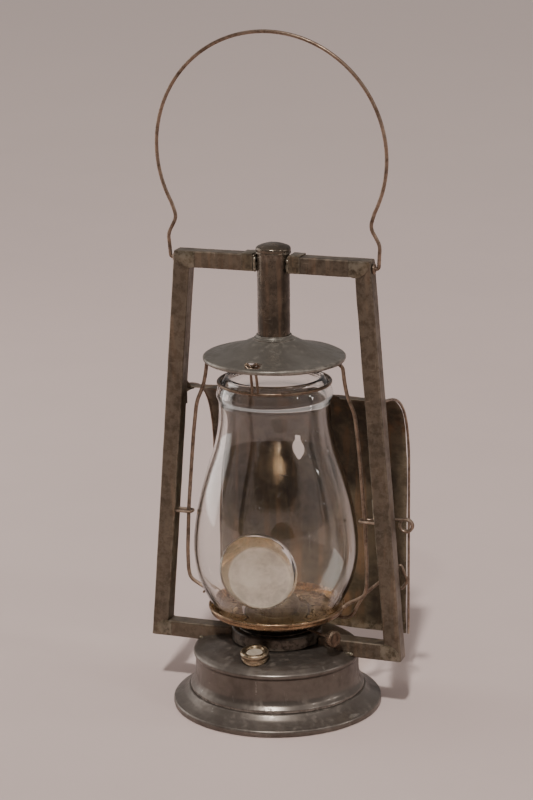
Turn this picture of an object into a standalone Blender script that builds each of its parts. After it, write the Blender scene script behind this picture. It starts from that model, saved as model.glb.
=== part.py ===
"""Hooded railway inspector's lantern on a square-tube frame, in metres, standing on Z = 0.

The lens and filler cap face -Y, the hood hangs behind at +Y and the side tubes stand at -X and +X.
"""

import math

import bmesh
import bpy
from mathutils import Matrix, Vector

# Fits shared by every piece
GAP = 0.0003            # air between two pieces that touch or slide
SHEET = 0.0009          # thickness of the sheet metal
FINE_SHEET = 0.0008     # thickness of the straps and cleats
ROUND_STEPS = 36        # facets round the large turned pieces
SMALL_STEPS = 24        # facets round the small turned pieces
WIRE_RINGS = 1          # roundness of the wires, as extra facets per quarter
OVERRUN = 0.004         # how far a cutter runs past the face it cuts

# Fount and foot
FOOT_RADIUS = 0.0788
FOOT_RIM_HEIGHT = 0.0046
STEP_RADIUS = 0.0653
STEP_HEIGHT = 0.0136
DRUM_RADIUS = 0.0615
BEAD_RADIUS = 0.0630
BEAD_HEIGHT = 0.0412
DOME_TOP = 0.0500
DOME_FLAT_RADIUS = 0.0300
FLANGE_LAP = 0.0035     # how far the foot's flange reaches in under the tank bottom

# Burner
COLLAR_HOLE_RADIUS = 0.0129
COLLAR_RADIUS = 0.0142
COLLAR_FLANGE_RADIUS = 0.0158
COLLAR_TOP = 0.0560
BURNER_RADIUS = 0.0122
BURNER_TOP = 0.0668
CHAMBER_RADIUS = 0.0340
CHAMBER_TOP = 0.0600
GALLERY_RADIUS = 0.0249
GALLERY_TOP = 0.0690
GALLERY_HOLES = 8
GALLERY_HOLE_RADIUS = 0.0019
DOME_FLANGE_RADIUS = 0.0235
FLAME_DOME_RADIUS = 0.0180
FLAME_DOME_TOP = 0.0850
WICK_WIDTH = 0.0150
WICK_THICKNESS = 0.0022
WICK_BOTTOM = 0.0240
WICK_TOP = 0.0832
WICK_TUBE_BOTTOM = 0.0440
WICK_TUBE_TOP = 0.0812
WICK_TUBE_WALL = 0.0007
SHAFT_HEIGHT = 0.0616
SHAFT_TURN = math.radians(-28.0)
SHAFT_RADIUS = 0.0011
SHAFT_OFFSET = 0.0046
SHAFT_INNER_END = -0.0145
SPUR_RADIUS = 0.0028
SPUR_WIDTH = 0.0020
SPUR_SPACING = 0.0036
KNOB_REACH = 0.0563
KNOB_RADIUS = 0.0068
KNOB_WIDTH = 0.0056

# Filler
FILLER_DISTANCE = 0.0483
FILLER_LEAN = math.radians(8.0)
FILLER_SEAT = 0.0475
NECK_RADIUS = 0.0076
NECK_HEIGHT = 0.0060
CAP_RADIUS = 0.0108
CAP_HEIGHT = 0.0088

# Square-tube frame
TUBE_WIDTH = 0.0126
TUBE_DEPTH = 0.0124
TUBE_WALL = 0.0009
ARM_BOTTOM = 0.0425
ARM_HEIGHT = 0.0125
CROSSBAR_TOP = 0.3430
CROSSBAR_HEIGHT = 0.0125
FRAME_HALF_BOTTOM = 0.0993
FRAME_HALF_TOP = 0.0753
MITRE_GAP = 0.0004

# Chimney, cap and straps
CHIMNEY_RADIUS = 0.0119
CHIMNEY_BOTTOM = 0.2560
CHIMNEY_TOP = CROSSBAR_TOP + 0.0028
CHIMNEY_CAP_RADIUS = CHIMNEY_RADIUS + 0.0010
CHIMNEY_CAP_TOP = CHIMNEY_TOP + 0.0058
STRAP_WIDTH = 0.0090

# Globe, plate and canopy
GLOBE_RADIUS = 0.0614
GLOBE_FOOT = 0.0724
GLOBE_TOP = 0.2530
GLASS = 0.0022
LENS_RADIUS = 0.0290
LENS_TURN = math.radians(6.0)
LENS_HEIGHT = 0.1190
LENS_BACK = 0.0500
LENS_FRONT = 0.0655
PLATE_HOLE_RADIUS = 0.0265
PLATE_RADIUS = 0.0509
PLATE_HEIGHT = 0.0704
CANOPY_RADIUS = 0.0510
CANOPY_EDGE = 0.2687
CANOPY_CREST = 0.2810
SLEEVE_TOP = 0.2840
RIM_WIRE = 0.0013
CANOPY_SLOT_HALF = 0.0052

# Wires
BAIL_WIRE = 0.00135
BAIL_RADIUS = 0.0875
BAIL_PIVOT = CROSSBAR_TOP - 0.0063
BAIL_CENTRE = BAIL_PIVOT + 0.0810
BAIL_CROWN_DROP = 0.0401
BAIL_FOOT = FRAME_HALF_TOP + 0.0047
BAIL_LEAN = math.radians(3.7)
BOSS_RADIUS = 0.0040
BOSS_THICKNESS = 0.0011
GUARD_WIRE = 0.0012
STAPLE_WIRE = 0.0009
STAPLE_HALF = 0.0034
LEFT_STAPLE_HEIGHT = 0.1425
RIGHT_STAPLE_HEIGHT = 0.1475
COIL_RADIUS = 0.0051
RETAINER_WIRE = 0.0012
RETAINER_RADIUS = 0.0412
RETAINER_HEIGHT = 0.2483
LEVER_WIRE = 0.0012
LEVER_DEPTH = 0.0090
LEVER_SET_IN = 0.00639
LEVER_PIVOT_Z = 0.1040

# Hood
HOOD_HALF_WIDTH = 0.0776
HOOD_BACK = 0.0800
HOOD_BOTTOM = 0.0335
HOOD_FRONT = 0.0140
HOOD_ROOF = 0.2352
HOOD_NOTCH_RADIUS = 0.0475
HOOD_EAR = 0.0070
KEYHOLE_X = -0.0082
KEYHOLE_HEIGHT = 0.1765
CLIP_HALF_WIDTH = 0.0060
CLIP_LOW = 0.0262
CLIP_HIGH = 0.0350
CLIP_LIP = 0.0440

# Colours (linear), roughness and metallic share
JAPANNED_IRON = ((0.085, 0.062, 0.046, 1.0), 0.48, 0.75)
FOUNT_TIN = ((0.105, 0.088, 0.076, 1.0), 0.36, 0.85)
CANOPY_TIN = ((0.130, 0.115, 0.100, 1.0), 0.42, 0.80)
RUSTY_WIRE = ((0.190, 0.105, 0.065, 1.0), 0.55, 0.70)
BRONZE = ((0.230, 0.150, 0.085, 1.0), 0.38, 0.90)
BRASS = ((0.480, 0.340, 0.160, 1.0), 0.32, 0.95)
HOOD_TIN = ((0.080, 0.062, 0.042, 1.0), 0.52, 0.70)
CLEAR_GLASS = ((0.930, 0.940, 0.920, 1.0), 0.04, 0.00)
WOVEN_WICK = ((0.420, 0.360, 0.270, 1.0), 0.95, 0.00)
LEATHER = ((0.090, 0.050, 0.030, 1.0), 0.80, 0.00)


def dress(name, mesh, look):
    """Make the named object with its own material."""
    colour, roughness, metallic = look
    surface = bpy.data.materials.new(name + "_surface")
    surface.use_nodes = True
    shader = surface.node_tree.nodes["Principled BSDF"]
    shader.inputs["Base Color"].default_value = colour
    shader.inputs["Roughness"].default_value = roughness
    shader.inputs["Metallic"].default_value = metallic
    if look is CLEAR_GLASS:
        shader.inputs["Transmission Weight"].default_value = 1.0
        shader.inputs["IOR"].default_value = 1.5
    mesh.materials.clear()
    mesh.materials.append(surface)
    piece = bpy.data.objects.new(name, mesh)
    bpy.context.scene.collection.objects.link(piece)
    return piece


def close_up(bm, name):
    """Weld the built faces, turn them outward and give back the mesh."""
    bmesh.ops.remove_doubles(bm, verts=bm.verts, dist=0.000002)
    bmesh.ops.recalc_face_normals(bm, faces=bm.faces)
    mesh = bpy.data.meshes.new(name)
    bm.to_mesh(mesh)
    bm.free()
    return mesh


def turned_mesh(name, profile, steps):
    """Solid of revolution about Z; a profile that starts and ends on the axis is left open there."""
    bm = bmesh.new()
    corners = [bm.verts.new((radius, 0.0, height)) for radius, height in profile]
    chain = list(zip(corners, corners[1:]))
    if profile[0][0] > 0.0 or profile[-1][0] > 0.0:
        chain.append((corners[-1], corners[0]))
    edges = [bm.edges.new(pair) for pair in chain]
    bmesh.ops.spin(bm, geom=corners + edges, cent=(0.0, 0.0, 0.0), axis=(0.0, 0.0, 1.0),
                   angle=math.tau, steps=steps, use_merge=True, use_duplicate=False)
    return close_up(bm, name)


def turned(name, profile, look, steps=ROUND_STEPS):
    return dress(name, turned_mesh(name, profile, steps), look)


def shell(outer, thickness):
    """Closed sheet profile: the outer line and the same line moved inward by the thickness."""
    inner = []
    for index, point in enumerate(outer):
        before = Vector(outer[max(index - 1, 0)])
        after = Vector(outer[min(index + 1, len(outer) - 1)])
        along = (after - before).normalized()
        inner.append((point[0] - along.y * thickness, point[1] + along.x * thickness))
    return list(outer) + inner[::-1]


def prism_mesh(name, outline, travel):
    """Flat outline of 3-D points carried along the travel vector."""
    bm = bmesh.new()
    face = bm.faces.new([bm.verts.new(point) for point in outline])
    grown = bmesh.ops.extrude_face_region(bm, geom=[face])
    moved = [part for part in grown["geom"] if isinstance(part, bmesh.types.BMVert)]
    bmesh.ops.translate(bm, vec=travel, verts=moved)
    return close_up(bm, name)


def prism(name, outline, travel, look):
    return dress(name, prism_mesh(name, outline, travel), look)


def block_mesh(name, low, high):
    outline = [(low[0], low[1], low[2]), (high[0], low[1], low[2]),
               (high[0], high[1], low[2]), (low[0], high[1], low[2])]
    return prism_mesh(name, outline, (0.0, 0.0, high[2] - low[2]))


def bent(corners, bend, steps=4):
    """Path through the corners with every inner corner rounded."""
    path = [Vector(corners[0])]
    for before, corner, after in zip(corners, corners[1:], corners[2:]):
        corner = Vector(corner)
        back = Vector(before) - corner
        ahead = Vector(after) - corner
        reach = min(bend, back.length * 0.45, ahead.length * 0.45)
        start = corner + back.normalized() * reach
        end = corner + ahead.normalized() * reach
        for step in range(steps + 1):
            share = step / steps
            path.append(start.lerp(corner, share).lerp(corner.lerp(end, share), share))
    path.append(Vector(corners[-1]))
    return path


def arc(centre, radius, first, last, steps):
    """Points round a circle in the XZ plane, angles from +X towards +Z."""
    points = []
    for step in range(steps + 1):
        angle = first + (last - first) * step / steps
        points.append((centre[0] + radius * math.cos(angle), centre[1],
                       centre[2] + radius * math.sin(angle)))
    return points


def wire_mesh(name, path, radius, ring=False):
    """Round wire swept along the path by a bevelled curve with filled ends."""
    curve = bpy.data.curves.new(name + "_path", "CURVE")
    curve.dimensions = "3D"
    spline = curve.splines.new("POLY")
    spline.points.add(len(path) - 1)
    for knot, point in zip(spline.points, path):
        knot.co = (point[0], point[1], point[2], 1.0)
    spline.use_cyclic_u = ring
    curve.bevel_depth = radius
    curve.bevel_resolution = WIRE_RINGS
    curve.use_fill_caps = not ring
    guide = bpy.data.objects.new(name + "_guide", curve)
    bpy.context.scene.collection.objects.link(guide)
    graph = bpy.context.evaluated_depsgraph_get()
    swept = bpy.data.meshes.new_from_object(guide.evaluated_get(graph))
    bpy.data.objects.remove(guide)
    bm = bmesh.new()
    bm.from_mesh(swept)
    return close_up(bm, name)


def wire(name, path, radius, look, ring=False):
    return dress(name, wire_mesh(name, path, radius, ring), look)


def joined(target, tool_mesh, operation="DIFFERENCE", solver="EXACT"):
    """Cut the tool out of the target, or weld it on, and keep the result as the target's mesh."""
    tool = bpy.data.objects.new("tool", tool_mesh)
    bpy.context.scene.collection.objects.link(tool)
    tool.hide_render = True
    tool.display_type = "WIRE"
    change = target.modifiers.new("change", "BOOLEAN")
    change.object = tool
    change.operation = operation
    change.solver = solver
    graph = bpy.context.evaluated_depsgraph_get()
    shaped = bpy.data.meshes.new_from_object(target.evaluated_get(graph))
    target.modifiers.clear()
    target.data = shaped
    bpy.data.objects.remove(tool)
    return target


def placed(mesh, matrix):
    mesh.transform(matrix)
    return mesh


def seat(piece, origin, turn=None):
    """Put the object's origin on its joint axis without moving the metal."""
    matrix = Matrix.Translation(origin)
    if turn is not None:
        matrix = matrix @ turn
    piece.data.transform(matrix.inverted())
    piece.matrix_world = matrix
    return piece


def side_outer(height):
    """Outer face of a side tube at this height, as distance from the middle."""
    share = (height - ARM_BOTTOM) / (CROSSBAR_TOP - ARM_BOTTOM)
    return FRAME_HALF_BOTTOM + (FRAME_HALF_TOP - FRAME_HALF_BOTTOM) * share


def side_inner(height):
    return side_outer(height) - TUBE_WIDTH


def flip(points, side):
    """Points mirrored to the given side, -1 for left and 1 for right."""
    return [(side * point[0], point[1], point[2]) for point in points]


def front_outline(points, side, depth):
    return [(side * x, -depth / 2.0, z) for x, z in points]


# ---------------------------------------------------------------- fount and foot

DOME_PROFILE = [
    (BEAD_RADIUS - 0.0006, BEAD_HEIGHT + 0.0012),
    (0.0585, 0.0450),
    (0.0500, 0.0474),
    (0.0400, 0.0489),
    (DOME_FLAT_RADIUS - 0.0060, DOME_TOP),
]


def build_foot():
    outer = [
        (FOOT_RADIUS, 0.0),
        (FOOT_RADIUS, FOOT_RIM_HEIGHT),
        (FOOT_RADIUS - 0.0016, FOOT_RIM_HEIGHT + 0.0010),
        (0.0735, 0.0069),
        (0.0692, 0.0097),
        (0.0668, STEP_HEIGHT - 0.0010),
        (STEP_RADIUS, STEP_HEIGHT - GAP),
        (DRUM_RADIUS - FLANGE_LAP, STEP_HEIGHT - GAP),
    ]
    turned("foot_skirt", shell(outer, SHEET), FOUNT_TIN)


def build_fount():
    wall = [
        (STEP_RADIUS, STEP_HEIGHT),
        (STEP_RADIUS, STEP_HEIGHT + 0.0014),
        (0.0632, STEP_HEIGHT + 0.0040),
        (DRUM_RADIUS, STEP_HEIGHT + 0.0120),
        (DRUM_RADIUS, BEAD_HEIGHT - 0.0040),
        (BEAD_RADIUS, BEAD_HEIGHT - 0.0012),
    ]
    rim = [(COLLAR_HOLE_RADIUS, DOME_TOP)]
    shell_piece = turned("fount_shell", shell(wall + DOME_PROFILE + rim, SHEET), FOUNT_TIN)
    joined(shell_piece, placed(turned_mesh("tool", [(0.0, -0.010), (NECK_RADIUS + 0.0004, -0.010),
                                                    (NECK_RADIUS + 0.0004, 0.010), (0.0, 0.010)],
                                           SMALL_STEPS), filler_matrix()))
    inner = DRUM_RADIUS - SHEET - GAP
    base = STEP_HEIGHT
    turned("tank_bottom", [(0.0, base), (inner, base), (inner, base + 0.0050),
                           (inner - SHEET, base + 0.0050), (inner - SHEET, base + SHEET),
                           (0.0, base + SHEET)], FOUNT_TIN)


# ---------------------------------------------------------------- filler

def filler_matrix():
    lean = Matrix.Rotation(FILLER_LEAN, 4, "X")
    return Matrix.Translation((0.0, -FILLER_DISTANCE, FILLER_SEAT)) @ lean


def build_filler():
    place = filler_matrix()
    wall = 0.0008
    flange = NECK_RADIUS + 0.0016
    foot = 0.0012
    neck = [(NECK_RADIUS - wall, -0.0030), (NECK_RADIUS, -0.0030), (NECK_RADIUS, foot),
            (flange, foot), (flange, foot + wall), (NECK_RADIUS, foot + wall),
            (NECK_RADIUS, NECK_HEIGHT), (NECK_RADIUS - wall, NECK_HEIGHT)]
    piece = turned("filler_neck", neck, BRASS, SMALL_STEPS)
    piece.matrix_world = place
    seal_low = NECK_HEIGHT + GAP
    seal_high = seal_low + 0.0006
    seal = [(NECK_RADIUS - wall, seal_low), (NECK_RADIUS + wall, seal_low),
            (NECK_RADIUS + wall, seal_high), (NECK_RADIUS - wall, seal_high)]
    piece = turned("cap_gasket", seal, LEATHER, SMALL_STEPS)
    piece.matrix_world = place
    under = seal_high + GAP
    bore = NECK_RADIUS + wall + GAP
    dish = under + wall
    cap = [(0.0, under), (bore, under), (bore, foot + wall + 2.0 * GAP),
           (CAP_RADIUS - 0.0006, foot + wall + 2.0 * GAP), (CAP_RADIUS, foot + wall + 0.0014),
           (CAP_RADIUS, CAP_HEIGHT - 0.0005), (CAP_RADIUS - 0.0005, CAP_HEIGHT),
           (CAP_RADIUS - 0.0014, CAP_HEIGHT), (CAP_RADIUS - 0.0024, dish + 0.0002), (0.0, dish)]
    piece = turned("filler_cap", cap, BRASS, SMALL_STEPS)
    piece.matrix_world = place


# ---------------------------------------------------------------- burner

def shaft_matrix():
    """Frame whose X runs out along the wick shaft, on the shaft's own line."""
    turn = Matrix.Rotation(SHAFT_TURN, 4, "Z")
    aside = turn @ Vector((0.0, SHAFT_OFFSET, 0.0))
    return Matrix.Translation((aside.x, aside.y, SHAFT_HEIGHT)) @ turn


def rod_mesh(radius, first, last, steps):
    """Rod along X from first to last."""
    mesh = turned_mesh("tool", [(0.0, first), (radius, first), (radius, last), (0.0, last)], steps)
    return placed(mesh, Matrix.Rotation(math.radians(90.0), 4, "Y"))


def oval_mesh(width, thickness, low, high):
    """Flat bar with round edges, upright, its width along the wick shaft."""
    radius = thickness / 2.0
    straight = width / 2.0 - radius
    outline = []
    for centre, first in ((straight, -90.0), (-straight, 90.0)):
        for step in range(7):
            angle = math.radians(first + 30.0 * step)
            outline.append((centre + radius * math.cos(angle), radius * math.sin(angle), low))
    mesh = prism_mesh("tool", outline, (0.0, 0.0, high - low))
    return placed(mesh, Matrix.Rotation(SHAFT_TURN, 4, "Z"))


def build_burner():
    flange = DOME_TOP + GAP
    bore = BURNER_RADIUS + GAP
    turned("burner_collar", [(bore, flange), (COLLAR_FLANGE_RADIUS, flange),
                             (COLLAR_FLANGE_RADIUS, flange + SHEET), (COLLAR_RADIUS, flange + SHEET),
                             (COLLAR_RADIUS, COLLAR_TOP), (bore, COLLAR_TOP)], BRASS, SMALL_STEPS)
    shoulder = COLLAR_TOP + GAP
    body = turned("burner_body", [
        (0.0, shoulder), (BURNER_RADIUS - SHEET, shoulder), (BURNER_RADIUS - SHEET, flange),
        (BURNER_RADIUS, flange), (BURNER_RADIUS, shoulder), (COLLAR_FLANGE_RADIUS, shoulder),
        (COLLAR_FLANGE_RADIUS, shoulder + SHEET), (BURNER_RADIUS, shoulder + SHEET),
        (BURNER_RADIUS, BURNER_TOP), (BURNER_RADIUS - SHEET, BURNER_TOP),
        (BURNER_RADIUS - SHEET, shoulder + SHEET), (0.0, shoulder + SHEET)], BRASS, SMALL_STEPS)
    tube_width = WICK_WIDTH + 2.0 * (GAP + WICK_TUBE_WALL)
    tube_thickness = WICK_THICKNESS + 2.0 * (GAP + WICK_TUBE_WALL)
    joined(body, oval_mesh(tube_width + 2.0 * GAP, tube_thickness + 2.0 * GAP,
                           shoulder - OVERRUN, shoulder + OVERRUN))
    joined(body, placed(rod_mesh(SHAFT_RADIUS + GAP, SHAFT_INNER_END - OVERRUN, KNOB_REACH, 16),
                        shaft_matrix()))

    tube = dress("wick_tube", oval_mesh(tube_width, tube_thickness, WICK_TUBE_BOTTOM, WICK_TUBE_TOP),
                 BRASS)
    joined(tube, oval_mesh(WICK_WIDTH + 2.0 * GAP, WICK_THICKNESS + 2.0 * GAP,
                           WICK_TUBE_BOTTOM - OVERRUN, WICK_TUBE_TOP + OVERRUN))
    window_half = SPUR_WIDTH / 2.0 + GAP
    window_reach = SPUR_RADIUS + 2.0 * GAP
    for side in (-1.0, 1.0):
        middle = side * SPUR_SPACING
        window = block_mesh("tool", (middle - window_half, WICK_THICKNESS / 2.0 + GAP / 3.0,
                                     SHAFT_HEIGHT - window_reach),
                            (middle + window_half, tube_thickness, SHAFT_HEIGHT + window_reach))
        joined(tube, placed(window, Matrix.Rotation(SHAFT_TURN, 4, "Z")))
    dress("wick", oval_mesh(WICK_WIDTH, WICK_THICKNESS, WICK_BOTTOM, WICK_TOP), WOVEN_WICK)

    knob_face = KNOB_REACH - KNOB_WIDTH / 2.0
    shaft = dress("wick_shaft", rod_mesh(SHAFT_RADIUS, SHAFT_INNER_END, knob_face + 0.0036, 12),
                  RUSTY_WIRE)
    for side in (-1.0, 1.0):
        middle = side * SPUR_SPACING
        spur = rod_mesh(SPUR_RADIUS, middle - SPUR_WIDTH / 2.0, middle + SPUR_WIDTH / 2.0, 16)
        joined(shaft, spur, "UNION")
    shaft.matrix_world = shaft_matrix()
    bore = SHAFT_RADIUS + GAP
    face = KNOB_REACH + KNOB_WIDTH / 2.0
    knob_profile = [(bore, knob_face), (KNOB_RADIUS - 0.0012, knob_face),
                    (KNOB_RADIUS, knob_face + 0.0014), (KNOB_RADIUS, face - 0.0016),
                    (KNOB_RADIUS - 0.0016, face), (0.0, face),
                    (0.0, knob_face + 0.0036 + GAP), (bore, knob_face + 0.0036 + GAP)]
    mesh = turned_mesh("wick_knob", knob_profile, 24)
    knob = dress("wick_knob", placed(mesh, Matrix.Rotation(math.radians(90.0), 4, "Y")), RUSTY_WIRE)
    knob.matrix_world = shaft_matrix()

    flame = [(DOME_FLANGE_RADIUS, GALLERY_TOP + GAP), (DOME_FLANGE_RADIUS, GALLERY_TOP + GAP + SHEET),
             (FLAME_DOME_RADIUS, GALLERY_TOP + 0.0020), (FLAME_DOME_RADIUS - 0.0008, 0.0760),
             (0.0150, 0.0808), (0.0110, 0.0838), (0.0, FLAME_DOME_TOP),
             (0.0, FLAME_DOME_TOP - SHEET), (0.0104, 0.0829), (0.0142, 0.0801),
             (FLAME_DOME_RADIUS - 0.0017, 0.0756), (FLAME_DOME_RADIUS - 0.0009, GALLERY_TOP + GAP)]
    dome = turned("burner_dome", flame, BRASS, SMALL_STEPS)
    slot = oval_mesh(WICK_WIDTH + 0.0030, WICK_THICKNESS + 0.0036, 0.0780, FLAME_DOME_TOP + OVERRUN)
    joined(dome, slot)


def build_air_parts():
    low = DOME_TOP + GAP
    deck = CHAMBER_TOP - SHEET
    hole = COLLAR_FLANGE_RADIUS + 2.0 * GAP
    chamber = turned("air_chamber", [
        (CHAMBER_RADIUS - SHEET, low), (CHAMBER_RADIUS, low), (CHAMBER_RADIUS, CHAMBER_TOP - 0.0010),
        (CHAMBER_RADIUS - 0.0010, CHAMBER_TOP), (hole, CHAMBER_TOP), (hole, deck),
        (CHAMBER_RADIUS - 0.0012, deck), (CHAMBER_RADIUS - SHEET, deck - 0.0004)], JAPANNED_IRON, 32)
    window = TUBE_DEPTH / 2.0 - TUBE_WALL
    joined(chamber, block_mesh("tool", (-CHAMBER_RADIUS - OVERRUN, -window, low + 0.0006),
                               (CHAMBER_RADIUS + OVERRUN, window,
                                ARM_BOTTOM + ARM_HEIGHT - TUBE_WALL)))
    gallery = turned("air_gallery", [
        (GALLERY_RADIUS + 0.0050, CHAMBER_TOP + GAP), (GALLERY_RADIUS + 0.0050, CHAMBER_TOP + GAP + SHEET),
        (GALLERY_RADIUS, CHAMBER_TOP + GAP + SHEET), (GALLERY_RADIUS, GALLERY_TOP),
        (GALLERY_RADIUS - SHEET, GALLERY_TOP), (GALLERY_RADIUS - SHEET, CHAMBER_TOP + GAP)],
        JAPANNED_IRON, 32)
    for number in range(GALLERY_HOLES):
        turn = Matrix.Rotation(SHAFT_TURN + math.tau * (number + 0.5) / GALLERY_HOLES, 4, "Z")
        drill = rod_mesh(GALLERY_HOLE_RADIUS, GALLERY_RADIUS - OVERRUN, GALLERY_RADIUS + OVERRUN, 10)
        joined(gallery, placed(drill, Matrix.Translation((0.0, 0.0, GALLERY_TOP - 0.0040)) @ turn))
    joined(gallery, placed(rod_mesh(SHAFT_RADIUS + 0.0006, CHAMBER_RADIUS / 3.0, KNOB_REACH, 12),
                           shaft_matrix()))


# ---------------------------------------------------------------- square-tube frame

def build_frame():
    arm_top = ARM_BOTTOM + ARM_HEIGHT
    bar_low = CROSSBAR_TOP - CROSSBAR_HEIGHT
    inner_depth = TUBE_DEPTH - 2.0 * TUBE_WALL
    dome_tool = [(0.0, ARM_BOTTOM - OVERRUN), (BEAD_RADIUS + GAP, ARM_BOTTOM - OVERRUN)]
    dome_tool += [(radius + GAP, height + GAP) for radius, height in DOME_PROFILE]
    dome_tool += [(0.0, DOME_TOP + GAP)]
    hand = {-1.0: "left", 1.0: "right"}
    for side in (-1.0, 1.0):
        travel = (0.0, TUBE_DEPTH, 0.0)
        outline = [(side_outer(ARM_BOTTOM), ARM_BOTTOM + MITRE_GAP),
                   (side_outer(CROSSBAR_TOP), CROSSBAR_TOP - MITRE_GAP),
                   (side_inner(bar_low), bar_low - MITRE_GAP),
                   (side_inner(arm_top), arm_top + MITRE_GAP)]
        tube = prism("side_tube_" + hand[side], front_outline(outline, side, TUBE_DEPTH), travel,
                     JAPANNED_IRON)
        high = CROSSBAR_TOP + OVERRUN
        low = ARM_BOTTOM - OVERRUN
        hollow = [(side_outer(low) - TUBE_WALL, low), (side_outer(high) - TUBE_WALL, high),
                  (side_inner(high) + TUBE_WALL, high), (side_inner(low) + TUBE_WALL, low)]
        joined(tube, prism_mesh("tool", front_outline(hollow, side, inner_depth),
                                (0.0, inner_depth, 0.0)))
        pin_hole = rod_mesh(BAIL_WIRE + GAP, FRAME_HALF_TOP - OVERRUN, FRAME_HALF_TOP + OVERRUN, 16)
        place = Matrix.Translation((0.0, 0.0, BAIL_PIVOT))
        if side < 0.0:
            place = place @ Matrix.Rotation(math.pi, 4, "Z")
        joined(tube, placed(pin_hole, place))

        inner_end = CHAMBER_RADIUS + GAP
        outline = [(side_outer(ARM_BOTTOM) - MITRE_GAP, ARM_BOTTOM),
                   (side_inner(arm_top) - MITRE_GAP, arm_top),
                   (inner_end, arm_top), (inner_end, ARM_BOTTOM)]
        arm = prism("lower_arm_" + hand[side], front_outline(outline, side, TUBE_DEPTH), travel,
                    JAPANNED_IRON)
        far = FRAME_HALF_BOTTOM + OVERRUN
        near = inner_end - OVERRUN
        hollow = [(near, ARM_BOTTOM + TUBE_WALL), (far, ARM_BOTTOM + TUBE_WALL),
                  (far, arm_top - TUBE_WALL), (near, arm_top - TUBE_WALL)]
        joined(arm, prism_mesh("tool", front_outline(hollow, side, inner_depth),
                               (0.0, inner_depth, 0.0)))
        joined(arm, turned_mesh("tool", dome_tool, ROUND_STEPS))

        inner_end = CHIMNEY_RADIUS + GAP
        outline = [(side_outer(CROSSBAR_TOP) - MITRE_GAP, CROSSBAR_TOP), (inner_end, CROSSBAR_TOP),
                   (inner_end, bar_low), (side_inner(bar_low) - MITRE_GAP, bar_low)]
        bar = prism("crossbar_" + hand[side], front_outline(outline, side, TUBE_DEPTH), travel,
                    JAPANNED_IRON)
        far = FRAME_HALF_TOP + OVERRUN
        near = inner_end - OVERRUN
        hollow = [(near, bar_low + TUBE_WALL), (far, bar_low + TUBE_WALL),
                  (far, CROSSBAR_TOP - TUBE_WALL), (near, CROSSBAR_TOP - TUBE_WALL)]
        joined(bar, prism_mesh("tool", front_outline(hollow, side, inner_depth),
                               (0.0, inner_depth, 0.0)))

        inside = TUBE_DEPTH / 2.0 + GAP
        outside = inside + FINE_SHEET
        foot = bar_low + 0.0004
        first = CHIMNEY_CAP_RADIUS + 2.0 * GAP
        outline = [(side * first, -outside, foot), (side * first, -outside, CROSSBAR_TOP + GAP + FINE_SHEET),
                   (side * first, outside, CROSSBAR_TOP + GAP + FINE_SHEET), (side * first, outside, foot),
                   (side * first, inside, foot), (side * first, inside, CROSSBAR_TOP + GAP),
                   (side * first, -inside, CROSSBAR_TOP + GAP), (side * first, -inside, foot)]
        prism("crossbar_strap_" + hand[side], outline, (side * STRAP_WIDTH, 0.0, 0.0), CANOPY_TIN)

        boss_face = side_outer(BAIL_PIVOT - BOSS_RADIUS) + GAP
        boss = [(BAIL_WIRE + GAP, boss_face), (BOSS_RADIUS, boss_face),
                (BOSS_RADIUS, boss_face + BOSS_THICKNESS), (BAIL_WIRE + GAP, boss_face + BOSS_THICKNESS)]
        mesh = placed(turned_mesh("boss", boss, 20), Matrix.Rotation(math.radians(90.0), 4, "Y"))
        dress("bail_boss_" + hand[side], placed(mesh, place), JAPANNED_IRON)


def build_chimney():
    bore = CHIMNEY_RADIUS - SHEET
    chimney = turned("chimney_tube", [(bore, CHIMNEY_BOTTOM), (CHIMNEY_RADIUS, CHIMNEY_BOTTOM),
                                      (CHIMNEY_RADIUS, CHIMNEY_TOP), (bore, CHIMNEY_TOP)],
                     JAPANNED_IRON, 28)
    half = TUBE_DEPTH / 2.0 - TUBE_WALL - 0.0004
    joined(chimney, block_mesh("tool", (-CHIMNEY_RADIUS - OVERRUN, -half,
                                        CROSSBAR_TOP - CROSSBAR_HEIGHT + TUBE_WALL + 0.0004),
                               (CHIMNEY_RADIUS + OVERRUN, half, CROSSBAR_TOP - TUBE_WALL - 0.0004)))
    skirt = CROSSBAR_TOP + 3.0 * GAP
    inside = CHIMNEY_RADIUS + GAP
    crown = CHIMNEY_TOP + GAP
    cap = [(inside, skirt), (CHIMNEY_CAP_RADIUS, skirt), (CHIMNEY_CAP_RADIUS, CHIMNEY_TOP + 0.0017),
           (CHIMNEY_CAP_RADIUS - 0.0013, CHIMNEY_TOP + 0.0033), (0.0078, CHIMNEY_CAP_TOP - 0.0008),
           (0.0, CHIMNEY_CAP_TOP), (0.0, CHIMNEY_CAP_TOP - SHEET),
           (0.0074, CHIMNEY_CAP_TOP - 0.0018), (inside - 0.0014, crown + 0.0016), (inside, crown)]
    turned("chimney_cap", cap, JAPANNED_IRON, 28)


# ---------------------------------------------------------------- globe carriage

GLOBE_PROFILE = [
    (0.0462, GLOBE_FOOT), (0.0468, 0.0762), (0.0503, 0.0822), (0.0553, 0.0920), (0.0595, 0.1050),
    (GLOBE_RADIUS, 0.1215), (0.0600, 0.1400), (0.0564, 0.1600), (0.0510, 0.1800), (0.0450, 0.1985),
    (0.0418, 0.2150), (0.0413, 0.2310), (0.0432, 0.2385), (0.0410, 0.2460), (0.0368, 0.2500),
    (0.0360, GLOBE_TOP)]

CANOPY_PROFILE = [
    (CANOPY_RADIUS + 0.0007, CANOPY_EDGE), (0.0460, CANOPY_EDGE + 0.0011),
    (0.0350, CANOPY_EDGE + 0.0037), (0.0250, CANOPY_EDGE + 0.0071),
    (CHIMNEY_RADIUS + 0.0036, CANOPY_CREST - 0.0004)]


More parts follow.
